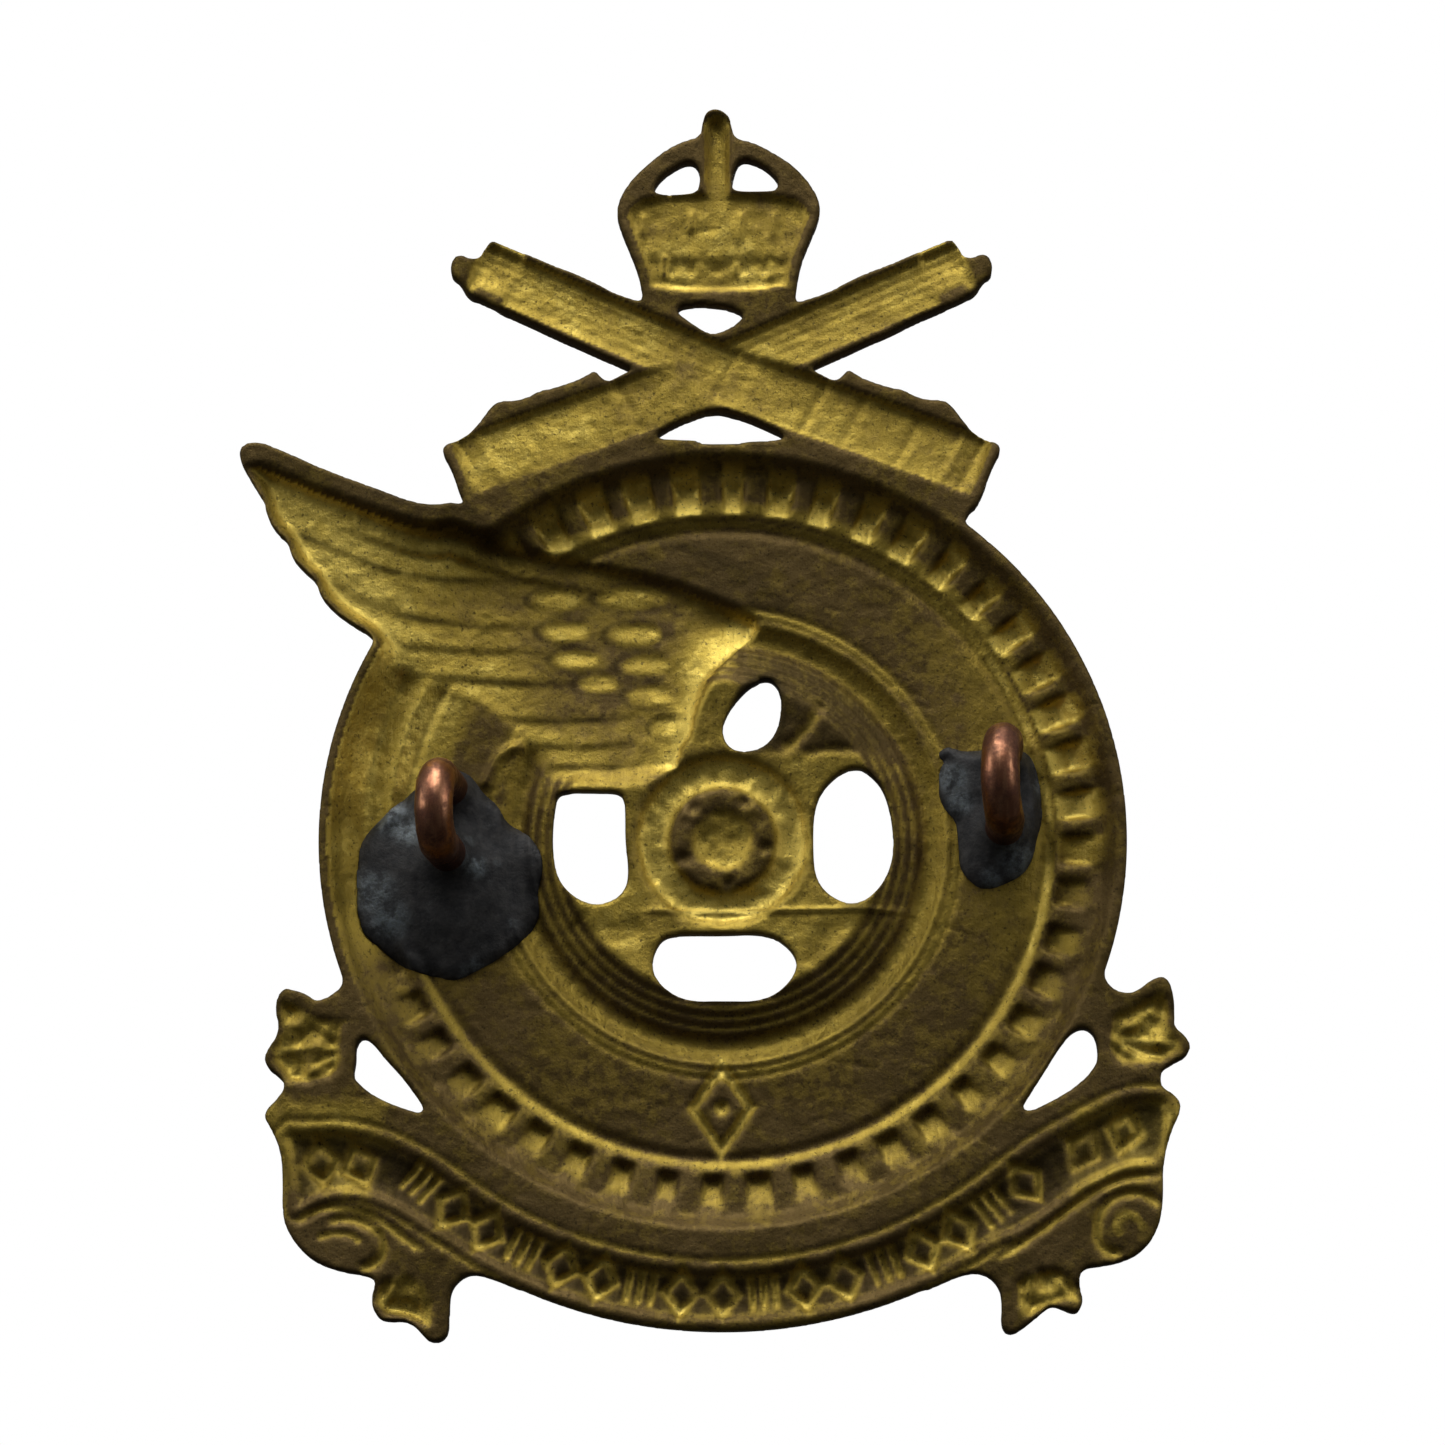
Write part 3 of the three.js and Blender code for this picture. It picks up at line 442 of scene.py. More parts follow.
START_SOFT = 0.6  # how far a gun's two ends take to reach their depth
END_SOFT = 0.35


def channel(start, end, half_width, section):
    """A hollow bar from start to end. The section runs from its lower side to its upper side."""
    (x0, z0), (x1, z1) = start, end
    length = math.hypot(x1 - x0, z1 - z0)
    ux, uz = (x1 - x0) / length, (z1 - z0) / length
    along = (X - x0) * ux + (Z - z0) * uz
    up = 1 if ux > 0 else -1
    across = ((Z - z0) * ux - (X - x0) * uz) * up
    sides, depths = zip(*section)
    depth = np.interp(across / half_width, sides, depths, left=0, right=0)
    ends = ramp(0, START_SOFT, along) * ramp(0, END_SOFT, length - along)
    return depth * ends, along, across


RECEIVER_SECTION = [(-1.05, 0), (-0.95, 0.08), (-0.3, 0.16), (0.5, 0.29), (0.88, 0.3), (1.06, 0)]
BARREL_SECTION = [(-1.05, 0), (-0.95, 0.1), (-0.3, 0.2), (0.3, 0.3), (0.88, 0.32), (1.08, 0)]


def gun_relief(side, extra):
    def place(x, z):
        return (x, z) if side > 0 else (2 * GUN_MIRROR_X - x, z)

    receiver, along, across = channel(place(1.4, 20.5), place(-11.15, 15.85), 1.3, RECEIVER_SECTION)
    marks = 0
    for s, strength in ((1.6, 0.4), (5.6, 0.35), (7.4, 0.2), (9.9, 0.2), (12.0, -0.3), (12.75, 0.4)):
        marks = marks + strength * swell(along - s - 0.12 * across, 0.26)
    receiver = receiver * (1 + marks) + receiver * 0.12 * layered_noise(along, across, 1.3, 21 + side)
    barrel, along, across = channel(place(-1.4, 19.45), place(10.75, 24.9), 1.12, BARREL_SECTION)
    collar = ramp(11.3, 11.5, along) * (1 - ramp(12.6, 12.8, along))
    barrel = barrel + 0.1 * collar * across
    barrel = barrel * (1 + 0.07 * np.sin(2 * np.pi * across / 0.42))
    whole = smooth_max(receiver, barrel, 0.1)
    return np.where(whole > 0.02, whole + extra * ramp(0, 0.2, whole), 0)


FEATHER_EDGES = [
    [(3, 10.3), (5, 10.95), (7, 11.25), (9, 11.2), (12, 11.15), (14, 11.45), (15, 11.8), (16, 12.2),
     (18.2, 13.1)],
    [(6, 9.4), (8, 9.2), (10, 9.1), (13.5, 9.5), (15, 10.05), (17, 11.2)],
    [(6, 8.2), (7.5, 8.1), (10, 8.05), (13.3, 8.15), (14.8, 9)],
    [(5, 6.9), (6.5, 6.8), (8, 6.65), (10, 6.75), (12, 6.85), (14, 7.2)],
    [(3.5, 5.2), (4.5, 5.1), (7, 5), (9.2, 5.05), (10.6, 5.9)],
    [(3.2, 4), (4, 3.95), (6, 3.85), (8.2, 3.9), (9, 4.4)],
    [(2.5, 3.1), (3.5, 3), (5, 2.95), (7.5, 3)],
]
SHOULDER = [(-2, 9.3), (-1.2, 8.4), (-0.3, 7.4), (0.2, 6.3), (0.65, 5), (1.2, 3.7)]
COVERTS = [
    (7, 10.4, 1.2, 0.56), (6.6, 9, 1.2, 0.56), (6.1, 7.75, 1.15, 0.52), (5.2, 6.7, 1, 0.5),
    (3.7, 10.5, 1.7, 0.6), (3.6, 8.85, 1.3, 0.6), (3.2, 7.5, 1.2, 0.56), (3, 6.15, 1.15, 0.58),
    (2.2, 4.75, 0.85, 0.58),
]


# A whole number, which makes the distance from the wing's upper edge whole millimetres too: the
# wall below that edge has steps, where 6.0 would make it smooth
WING_REACH = 6


def wing_relief():
    """The wing's own depth, how much it covers what lies under it, the lines where dirt lies and where
    shade is painted, and how bright it is painted, with painted highlights."""
    edge = inside_distance(WING, 1)
    upper = inside_distance(WING_UPPER, 1, reach=WING_REACH)
    plane = np.clip(1.25 + 0.09 * (Z - 3.0), 1.25, 1.9)
    plane = plane * (1 - 0.6 * ramp(8.0, 17.0, X))
    edges = []
    for points in FEATHER_EDGES:
        xs, zs = zip(*points)
        edges.append(np.interp(X - 0.1, xs, zs) + 0.2)
    top = Z + np.maximum(upper - 1.2, 0)
    levels = [np.maximum(top, edges[0] + 0.3)] + edges + [edges[-1] - 1.1]
    vanes = np.zeros(X.shape)
    for high, low in zip(levels, levels[1:]):
        share = (Z - low) / np.maximum(high - low, 0.2)
        inside = (share >= 0) & (share < 1)
        tilt = np.interp(share, [0, 0.12, 0.88, 1], [0.5, 0.0, 0.95, 0.5]) - 0.5
        vanes = np.where(inside, tilt, vanes)
    shown = np.where(Z > 6.9, ramp(7.2, 9.2, X), ramp(3.2, 4.6, X))
    plane = plane + 0.085 * vanes * shown * (1 - 0.3 * ramp(13, 18, X))
    lines = np.zeros(X.shape)
    uneven = 0.75 + 0.5 * value_noise(X, Z, 1.1, 27)
    for low in edges:
        lines = np.maximum(lines, 1.5 * uneven * swell(Z - low, 0.24) * shown)
    # The hollow between the short feathers is painted darker, and the wing painted brighter towards its
    # tip, a painted highlight
    between = ramp(1.0, 3.0, X) * (1 - ramp(6.5, 10.5, X)) * ramp(4.5, 6.5, Z)
    tone = 1.1 - 0.7 * between + 0.8 * ramp(10, 16, X)
    tone = tone + 0.3 * layered_noise(X, Z, 2.4, 29) + 0.4 * layered_noise(0.35 * X, Z, 0.7, 31)
    for x, z, half_length, half_width in COVERTS:
        # Each is rounded towards the wing's tip and dies away towards its root
        u, v = (X - x - 0.1) / half_length, (Z - z - 0.15) / half_width
        fade = ramp(-1.4, -0.7, u)
        shape = 1 - np.sqrt(np.abs(u) ** np.where(u > 0, 2.0, 3.0) + v * v)
        plane = plane + fade * ramp(0, 0.5, shape) * (-0.07 + 0.09 * (v + 1))
        line = 1.35 * swell(shape + 0.08, 0.28) * ramp(-1.3, -0.3, u)
        lines = np.maximum(lines * (1 - fade * ramp(0, 0.1, shape)), line)
        tone = tone + np.clip(1.35 - tone, 0, 1) * fade * ramp(0.0, 0.4, shape)
    # At the root the hollow slopes up to its shoulder, and the slope is painted bright, a painted highlight
    root = 1 - ramp(-0.3, 2.2, X - 0.25 * np.clip(6 - Z, 0, 3))
    plane = plane * (1 - root) + np.clip(0.75 + 0.42 * (Z - 6.2), 0.7, 2.1) * root
    shoulder, _ = line_distance(SHOULDER, 1)
    tone = tone + 1.3 * swell(shoulder, 2.4)
    wall = np.interp(X, [0, 4, 8, 12, 18], [0.5, 0.75, 1.15, 1.15, 0.6])
    # How far down the wall, in widths of wall
    down = upper / wall
    rise = ramp(-0.15, 0.5, down) * (1 - (1 - np.clip(down / 1.7, 0, 1)) ** 2)
    over_wheel = ramp(0.2, 1.2, WHEEL_RADIUS - RADIUS) * ramp(1.5, 4.0, X)
    soft = 0.35 + 0.5 * over_wheel + 0.25 * ramp(12, 15, X)
    cover = np.minimum(ramp(-0.1 - 0.2 * over_wheel, soft, edge), rise)
    # A painted shadow: a dark band down the wing's wall below its upper edge
    dark = (1 - ramp(0.8, 1.5, down)) * ramp(-0.1, 0.1, edge) * ramp(8.2, 9.6, Z)
    lines = np.maximum(lines * ramp(0.9, 1, cover), 0.75 * dark)
    # Painted shade goes on past the root, over the tyre
    painted_shade_past_root, _ = line_distance([(4.0, 13.4), (1.5, 12.7), (-0.8, 11.6), (-2.8, 9.9)], 1)
    lines = np.maximum(lines, 0.95 * swell(painted_shade_past_root, 1.1) * (1 - ramp(0, 0.2, edge)))
    return plane, cover, lines, tone


CROWN_SECTION = [
    (23.5, 0.1), (23.9, 0.24), (24.4, 0.24), (24.95, 0.3), (25.15, 0.21), (25.35, 0.2), (26.1, 0.26),
    (27.1, 0.34), (28.2, 0.42),
]
# Upright grooves: x, lower end, upper end, depth
CROWN_GROOVES = [
    (1.3, 26.1, 27.2, -0.25), (3.4, 25.9, 27.1, -0.22), (-0.75, 25.6, 27.2, -0.15),
    (-2.2, 25.8, 27.2, -0.18), (2.45, 24, 25.2, -0.25), (-0.6, 24.2, 24.9, -0.2), (-2.1, 24, 24.9, -0.2),
    (1, 24.2, 24.9, -0.15),
]


def crown_relief():
    edge = inside_distance(CROWN_FIELD, 1)
    heights, depths = zip(*CROWN_SECTION)
    depth = np.interp(Z, heights, depths)
    for x, low, high, strength in CROWN_GROOVES:
        line = [(x + 0.05, low + 0.15), (x, high + 0.15)]
        depth = depth + 0.8 * strength * line_swell(line, 0.2, 0, 0.2)
    for k in range(5):
        x = 0.2 + (k - 2) * 1.05
        depth = depth + 0.1 * swell(np.abs(X - x) + 1.2 * np.abs(Z - 24.6), 0.45)
    depth = depth + 0.05 * layered_noise(X, Z, 0.9, 33)
    body = depth * ramp(-0.05, 0.3, edge)
    rib_distance, _ = line_distance([(0.2, 26.9), (0.22, 29.0), (0.25, 31.0)], 1)
    rib = (0.3 + 0.1 * (Z - 27.0)) * ramp(0.6, 0.35, rib_distance)
    return np.maximum(body, rib)


def lozenge_line(x, z, along, across, angle, line):
    """The outline of a lozenge as a rounded groove."""
    c, s = math.cos(angle), math.sin(angle)
    u, v = (X - x) * c + (Z - z) * s, (Z - z) * c - (X - x) * s
    slant = 1 / math.hypot(1 / along, 1 / across)
    return swell((np.abs(u) / along + np.abs(v) / across - 1) * slant, line)


def bar_mark(x, z, length, angle, line):
    c, s = math.cos(angle), math.sin(angle)
    return line_swell([(x - c * length, z - s * length), (x + c * length, z + s * length)], line, 0, 0.15)


MARK_COUNT = 17
MARK_RING = 19.22
MARK_STEP = 5.1  # degrees
LOZENGE = (0.66, 0.84)  # half its length and half its height
END_MARKS = [(-16.7, -12.4, 0.2), (-15, -13.2, 0.5), (16.7, -13.7, -0.15), (15.1, -13.8, -0.35)]


def scroll_relief():
    """The scroll's depth, its painted brightness with highlights on marks and edges, and dirt between its
    marks.
    """
    edge = inside_distance(SCROLL_FIELD, 1)
    floor = 0.36 + 0.1 * np.clip(edge, 0, 1)
    depth = floor * ramp(-0.1, 0.42, edge)
    depth = depth + 0.14 * swell(edge + 0.42, 0.2)
    depth = depth - 0.1 * swell(edge - 0.42, 0.16)
    # A row of lozenges and bars stands in the middle of the scroll
    marks = np.zeros(X.shape)
    for k in range(MARK_COUNT):
        turn = math.radians((k - (MARK_COUNT - 1) / 2) * MARK_STEP)
        x, z = MARK_RING * math.sin(turn), -MARK_RING * math.cos(turn)
        if k % 3 == 1:
            for shift in (-0.5, 0.0, 0.5):
                bx, bz = x + shift * math.cos(turn), z + shift * math.sin(turn)
                marks = marks + bar_mark(bx, bz, 0.85, turn + math.pi / 2, 0.27)
        else:
            marks = marks + lozenge_line(x, z, *LOZENGE, turn, 0.33)
    for x, z, angle in END_MARKS:
        marks = marks + lozenge_line(x, z, *LOZENGE, angle, 0.33)
    marks = marks * (0.85 + 0.45 * value_noise(X, Z, 0.8, 45))
    depth = depth + 0.28 * marks
    depth = depth + 0.05 * layered_noise(X, Z, 0.9, 41) * ramp(0, 0.4, edge)
    # The marks and the scroll's edges are painted bright, a painted highlight
    clean_and_painted_light = 1.2 * np.clip(1.4 * marks, 0, 1) + 0.75 * swell(edge + 0.42, 0.25)
    clean_and_painted_light = clean_and_painted_light + 0.35 * swell(edge - 0.3, 0.2)
    dirt = ramp(0.1, 0.4, edge) * (1 - np.clip(1.6 * marks, 0, 1))
    return tuple(np.where(RADIUS > 16.3, field, 0) for field in (depth, clean_and_painted_light, dirt))


CURL_LINES = [
    ([(-18.2, -15.9), (-17.9, -15.3), (-17.2, -15), (-16.3, -15.15), (-15.7, -15.7), (-15.45, -16.5),
      (-15.55, -17.2), (-16.1, -17.6), (-16.8, -17.45)], 0.3, 0.28),
    ([(-18.4, -14.45), (-17.2, -14.3), (-16.2, -14.5), (-15, -15.2), (-13.6, -16.3), (-12.4, -17.2),
      (-11, -18)], 0.24, 0.2),
    ([(-17.4, -16.7), (-17.2, -16), (-16.6, -15.9), (-16.2, -16.4), (-16.6, -16.9)], 0.25, -0.12),
    ([(17.9, -16.3), (17, -15.75), (15.9, -15.6), (14.9, -15.75), (13.9, -16.3), (13.2, -16.9),
      (12.2, -17.6)], 0.26, 0.22),
    ([(16.6, -16.3), (15.8, -16.05), (15, -16.15), (14.3, -16.55), (14, -17.1), (14.1, -17.7),
      (14.6, -18.1), (15.3, -18.1)], 0.32, 0.3),
    ([(16.9, -16.9), (16.1, -16.65), (15.3, -16.75), (14.9, -17.2)], 0.25, 0.16),
]


def lower_relief():
    """The same three for the scroll with its curls and leaves."""
    depth, clean_and_painted_light, dirt = scroll_relief()
    for points, width, deep in CURL_LINES:
        line = line_swell(points, width * 1.15)
        depth = depth + deep * line
        clean_and_painted_light = np.maximum(clean_and_painted_light, 1.2 * line)
    for number, points in enumerate(LEAF_FIELDS):
        edge = inside_distance(points, 1, reach=1.5)
        mottled = 0.36 + 0.36 * layered_noise(X, Z, 0.8, 51 + number)
        depth = depth + mottled * ramp(0.0, 0.55, edge)
        clean_and_painted_light = np.maximum(clean_and_painted_light, (1.2 + 2.2 * (mottled - 0.36)) * ramp(0.1, 0.5, edge))
    for points in LEAF_VEINS:
        depth = depth - 0.16 * line_swell(points, 0.24, 1)
    return np.maximum(depth, 0) * (1 - ramp(-0.1, 0.2, 16.6 - RADIUS)), clean_and_painted_light, dirt


def tyre_mark():
    """A plain lozenge with a bead in it, on the tyre's wall below the hub."""
    mark = 0.3 * lozenge_line(0.05, -11.3, 1.2, 1.75, 0, 0.34)
    return mark + 0.3 * swell(np.hypot(X - 0.05, Z + 11.3), 0.45)


def scratches(seed, count, low, high):
    """Fine straight scuffs. Each is a shallow groove towards the front."""
    rng = np.random.default_rng(seed)
    total = np.zeros(X.shape)
    for _ in range(count):
        x, z = rng.uniform(-17, 17), rng.uniform(-19, 28)
        angle = rng.uniform(-0.5, 0.5)
        if rng.random() < 0.3:
            angle = angle + math.pi / 2
        length = rng.uniform(low, high)
        dx, dz = math.cos(angle) * length / 2, math.sin(angle) * length / 2
        total = np.maximum(total, line_swell([(x - dx, z - dz), (x + dx, z + dz)], 0.14, 0, 0.3))
    return total


def dents(seed, count):
    rng = np.random.default_rng(seed)
    total = np.zeros(X.shape)
    for _ in range(count):
        x, z, size = rng.uniform(-18, 18), rng.uniform(-20, 29), rng.uniform(0.18, 0.4)
        strength, stretch = rng.uniform(-1, 1), rng.uniform(0.8, 1.3)
        total = total + strength * swell(np.hypot(X - x, (Z - z) * stretch), size)
    return total


# How clean the wheel is painted, with painted highlights such as the hub's bright ring: 0 dull brown, 1
# clean, 2 worn bright
CLEAN_AND_LIGHT_BY_RADIUS = [
    (0, 1.15), (1.1, 1.15), (1.4, 0.1), (2.1, 0), (2.4, 1.8), (3.4, 1.9), (3.7, 0.8), (4.2, 1.1),
    (6.6, 1.1), (6.9, 0), (7.05, 0.1), (7.15, 0.9), (7.3, 0.1), (7.45, 0.1), (7.57, 0.9), (7.7, 0.1),
    (7.9, 0.1), (8, 0.9), (8.15, 0.1), (8.35, 0.2), (8.6, 0.8), (9.2, 0.9), (9.6, 0.4), (9.9, 0.9),
    (10.3, 0.1), (13.3, 0.1), (13.55, 0.4), (13.65, 1.1), (13.85, 0.9), (13.95, 0.3), (14.2, 0.2),
    (18, 0),
]


def back_relief():
    """The depth of the hollow behind and of the forms in front, how bright the brass is painted for its
    tarnish and as painted highlights, and the lines where dirt has settled and where shade is painted."""
    mark, crown = tyre_mark(), crown_relief()
    lower, lower_clean_and_painted_light, dirt = lower_relief()
    guns = np.maximum(gun_relief(-1, 0.0), gun_relief(1, 0.12))
    wing, cover, lines, tone = wing_relief()
    wheel, worn_and_lit_pockets = wheel_relief()
    wheel = wheel + mark
    depth = np.maximum.reduce([wheel, lower, crown, guns])
    front = np.maximum.reduce([wheel, lower, 2.4 * crown, 4 * guns])
    clean_and_painted_light = np.interp(RADIUS, *zip(*CLEAN_AND_LIGHT_BY_RADIUS)) + 1.3 * np.clip(mark * 5, 0, 1)
    # A bright patch on the +X side of the tyre, painted as a highlight
    worn_and_lit = ramp(-35, -10, TURN) * (1 - ramp(30, 45, TURN)) * ramp(11.5, 12.5, RADIUS)
    clean_and_painted_light = np.maximum(clean_and_painted_light, (1.35 + 0.5 * layered_noise(X, Z, 1.8, 39)) * worn_and_lit * (RADIUS < 16.6))
    # The side of the wheel away from the wing is painted lighter, a painted highlight
    clean_and_painted_light = clean_and_painted_light + 0.55 * ramp(6, 12, -X) * ramp(-8, -2, Z) * (RADIUS < 14)
    # A painted highlight in the pockets, with their wear
    clean_and_painted_light = np.maximum(clean_and_painted_light, (1.85 + 0.6 * value_noise(X, Z, 1.3, 37)) * worn_and_lit_pockets)
    # At the top the inner ends of the pockets run together, painted bright as a highlight
    clean_and_painted_light = np.maximum(clean_and_painted_light, 1.2 * swell(RADIUS - 14.3, 0.6) * ramp(5, 9, Z))
    # Painted shade in the corner between the two upper windows, out to the hollow's steps
    corner = ramp(3.2, 4.2, Z) * ramp(0.2, 1.2, -X) * (1 - ramp(8.0, 8.7, RADIUS))
    corner = corner * (1 - 0.7 * line_swell(SPOKE_LINES[0][0], 0.5))
    clean_and_painted_light = clean_and_painted_light - 1.2 * corner
    clean_and_painted_light = np.maximum(clean_and_painted_light, lower_clean_and_painted_light)
    ends = ramp(13.0, 15.0, np.abs(X)) * ramp(-10.6, -11.6, Z) * ramp(-15.6, -14.6, Z)
    clean_and_painted_light = np.maximum(clean_and_painted_light, (0.9 + 0.5 * layered_noise(X, Z, 1.2, 33)) * ends)
    blotches = 0.55 * layered_noise(X, Z, 1.6, 35)
    for form, share in ((crown, 1.0), (guns, 1.1)):
        clean_and_painted_light = np.maximum(clean_and_painted_light, (share + blotches) * ramp(0.04, 0.12, form))
    clean_and_painted_light = clean_and_painted_light * (1 - cover) + tone * ramp(0.15, 0.5, cover) * cover
    depth, front = (form * (1 - cover) + wing * cover for form in (depth, front))
    smudge = swell(np.hypot(X + 9.3, 0.55 * (Z + 0.6)), 0.9)
    lines = np.maximum.reduce([lines, 1.3 * dirt, 0.8 * smudge, 0.85 * corner * (1 - cover)])
    return depth, front, clean_and_painted_light, lines


metal = silhouette()
depth, front_depth, clean_and_painted_light, lines = back_relief()
depth = blurred(depth, 0.7)
crease = line_swell([(-8.1, -3.0), (-3.5, -3.02), (0.5, -3.08), (3.8, -3.05)], 0.17, 1, 0.1)
relief = 0.026 * layered_noise(X, Z, 1.2, 61) + 0.03 * value_noise(X, Z, 5.0, 67)
relief = relief + 0.018 * value_noise(X, Z, 0.42, 69)
pits = ramp(0.45, 0.85, value_noise(X, Z, 0.5, 79))
relief = relief - 0.022 * pits * ramp(0, 0.3, clean_and_painted_light - 0.5)
relief = relief + 0.03 * scratches(71, 46, 0.8, 3.2) + 0.05 * dents(73, 70)
# Steep walls are drawn softer, as the grid is too coarse for them
steep = ramp(0.9, 1.6, np.hypot(*np.gradient(blurred(depth, 1.0), PITCH)))
steep = np.clip(blurred(steep, 1.5) * 1.5, 0, 1)
depth = depth * (1 - steep) + blurred(depth, 2.4) * steep
depth = depth + relief - 0.1 * crease
front_depth = blurred(spread(front_depth, 2.3), 0.8) + relief
front_depth = np.maximum(front_depth, depth - 0.25)


# ---- Meshes ----


def cut_sheet(inside, columns, rows):
    """Faces of the part of a grid where the field is positive. Returns the grid places of the
    vertices, the faces, and the cut edges, each with the metal on its left."""
    # Values nearer nothing than this are pushed away, so that no cut falls right beside a grid point
    least = 0.12 * PITCH
    field = np.where(np.abs(inside) < least, least * np.where(inside >= 0, 1, -1), inside)
    solid = field > 0
    number = np.full(field.shape, -1)
    number[solid] = np.arange(solid.sum())
    places = [np.stack([columns[solid], rows[solid]], axis=1)]
    total = int(solid.sum())

    across = solid[:, :-1] != solid[:, 1:]
    share = (field[:, :-1] / (field[:, :-1] - field[:, 1:] + 1e-30))[across]
    jj, ii = np.nonzero(across)
    number_across = np.full(across.shape, -1)
    number_across[across] = total + np.arange(len(jj))
    places.append(np.stack([ii + share, jj], axis=1))
    total += len(jj)

    upright = solid[:-1, :] != solid[1:, :]
    share = (field[:-1, :] / (field[:-1, :] - field[1:, :] + 1e-30))[upright]
    jj, ii = np.nonzero(upright)
    number_upright = np.full(upright.shape, -1)
    number_upright[upright] = total + np.arange(len(jj))
    places.append(np.stack([ii, jj + share], axis=1))

    corners = solid[:-1, :-1] * 1 + solid[:-1, 1:] * 2 + solid[1:, 1:] * 4 + solid[1:, :-1] * 8
    jj, ii = np.nonzero(corners == 15)
    four = [number[jj, ii], number[jj, ii + 1], number[jj + 1, ii + 1], number[jj + 1, ii]]
    full = np.stack(four, axis=1)
    faces, edges = full.tolist(), []
    for j, i in zip(*np.nonzero((corners != 15) & (corners != 0))):
        corner = [(j, i), (j, i + 1), (j + 1, i + 1), (j + 1, i)]
        side = [
            number_across[j, i], number_upright[j, i + 1],
            number_across[j + 1, i], number_upright[j, i],
        ]
        ring = []
        for k in range(4):
            here, after = solid[corner[k]], solid[corner[(k + 1) % 4]]
            if here:
                ring.append((int(number[corner[k]]), False))
            if here != after:
                ring.append((int(side[k]), True))
        faces.append([v for v, _ in ring])
        for (a, cut_a), (b, cut_b) in zip(ring, ring[1:] + ring[:1]):
            if cut_a and cut_b:
                edges.append((a, b))
    return np.vstack(places), faces, edges


def sample(field, places):
    """The field at fractional grid places."""
    i = np.clip(places[:, 0], 0, field.shape[1] - 1.001)
    j = np.clip(places[:, 1], 0, field.shape[0] - 1.001)
    i0, j0 = np.floor(i).astype(int), np.floor(j).astype(int)
    fi, fj = i - i0, j - j0
    low = field[j0, i0] * (1 - fi) + field[j0, i0 + 1] * fi
    high = field[j0 + 1, i0] * (1 - fi) + field[j0 + 1, i0 + 1] * fi
    return low * (1 - fj) + high * fj


def add_object(name, vertices, faces, material, attributes=()):
    mesh = bpy.data.meshes.new(name)
    mesh.from_pydata((np.asarray(vertices) * MM).tolist(), [], faces)
    mesh.polygons.foreach_set("use_smooth", [True] * len(mesh.polygons))
    for title, values in dict(attributes).items():
        layer = mesh.attributes.new(title, "FLOAT", "POINT")
        layer.data.foreach_set("value", np.asarray(values, np.float32))
    mesh.materials.append(material)
    mesh.update()
    thing = bpy.data.objects.new(name, mesh)
    bpy.context.scene.collection.objects.link(thing)
    return thing


def two_sided(inside, back_y, front_y, extra):
    """A closed sheet between two surfaces over the part of the grid where the field is positive."""
    columns, rows = np.meshgrid(np.arange(inside.shape[1]), np.arange(inside.shape[0]))
    places, faces, edges = cut_sheet(inside, columns, rows)
    x = XS[0] + places[:, 0] * PITCH
    z = ZS[0] + places[:, 1] * PITCH
    back = np.stack([x, sample(back_y, places), z], axis=1)
    front = np.stack([x, sample(front_y, places), z], axis=1)
    count = len(places)
    # Seen from behind, a ring that turns left in X and Z turns right
    back_faces = [face[::-1] for face in faces]
    front_faces = [[v + count for v in face] for face in faces]
    walls = [[a, b, b + count, a + count] for a, b in edges]
    used = {title: np.tile(sample(field, places), 2) for title, field in extra.items()}
    return np.vstack([back, front]), back_faces + front_faces + walls, used


def edge_drop(distance, radius):
    inner = np.clip(radius - distance, 0, radius)
    return radius - np.sqrt(np.maximum(radius * radius - inner * inner, 0))


# ---- Materials ----


class Paint:
    """A node material, with short calls for its nodes."""

    def __init__(self, name):
        self.material = bpy.data.materials.new(name)
        self.material.use_nodes = True
        self.tree = self.material.node_tree
        self.shader = self.tree.nodes["Principled BSDF"]
        place = self.add("ShaderNodeTexCoord")
        inputs = {"Vector": place.outputs["Object"], "Scale": (1000, 1000, 1000)}
        scale = self.add("ShaderNodeMapping", inputs)
        self.place = scale.outputs["Vector"]

    def add(self, kind, inputs=(), **settings):
        made = self.tree.nodes.new(kind)
        for title, value in settings.items():
            setattr(made, title, value)
        for title, value in dict(inputs).items():
            self.put(made.inputs[title], value)
        return made

    def put(self, socket, value):
        if isinstance(value, bpy.types.NodeSocket):
            self.tree.links.new(value, socket)
        else:
            socket.default_value = value

    def noise(self, scale, detail=4, roughness=0.55, stretch=None, seed=0.0):
        place = self.place
        if stretch:
            place = self.add("ShaderNodeMapping", {"Vector": place, "Scale": stretch}).outputs["Vector"]
        made = self.add(
            "ShaderNodeTexNoise",
            {"Vector": place, "Scale": scale, "Detail": detail, "Roughness": roughness, "W": seed},
            noise_dimensions="4D",
        )
        return made.outputs[0]

    def attribute(self, title):
        return self.add("ShaderNodeAttribute", attribute_name=title).outputs["Fac"]

    def math(self, operation, a, b=0.0, clamp=False):
        made = self.add("ShaderNodeMath", operation=operation, use_clamp=clamp)
        self.put(made.inputs[0], a)
        self.put(made.inputs[1], b)
        return made.outputs[0]

    def span(self, value, low, high, to_low=0.0, to_high=1.0):
        made = self.add(
            "ShaderNodeMapRange",
            {"Value": value, "From Min": low, "From Max": high, "To Min": to_low, "To Max": to_high},
            interpolation_type="SMOOTHSTEP",
        )
        return made.outputs["Result"]

    def mix(self, share, a, b):
        made = self.add("ShaderNodeMix", data_type="RGBA")
        self.put(made.inputs[0], share)
        self.put(made.inputs[6], a)
        self.put(made.inputs[7], b)
        return made.outputs[2]

    def bump(self, height, distance, strength=1.0, under=None):
        inputs = {"Height": height, "Distance": distance, "Strength": strength}
        if under is not None:
            inputs["Normal"] = under
        return self.add("ShaderNodeBump", inputs).outputs["Normal"]

    def finish(self, **inputs):
        for title, value in inputs.items():
            self.put(self.shader.inputs[title.replace("_", " ")], value)
        return self.material


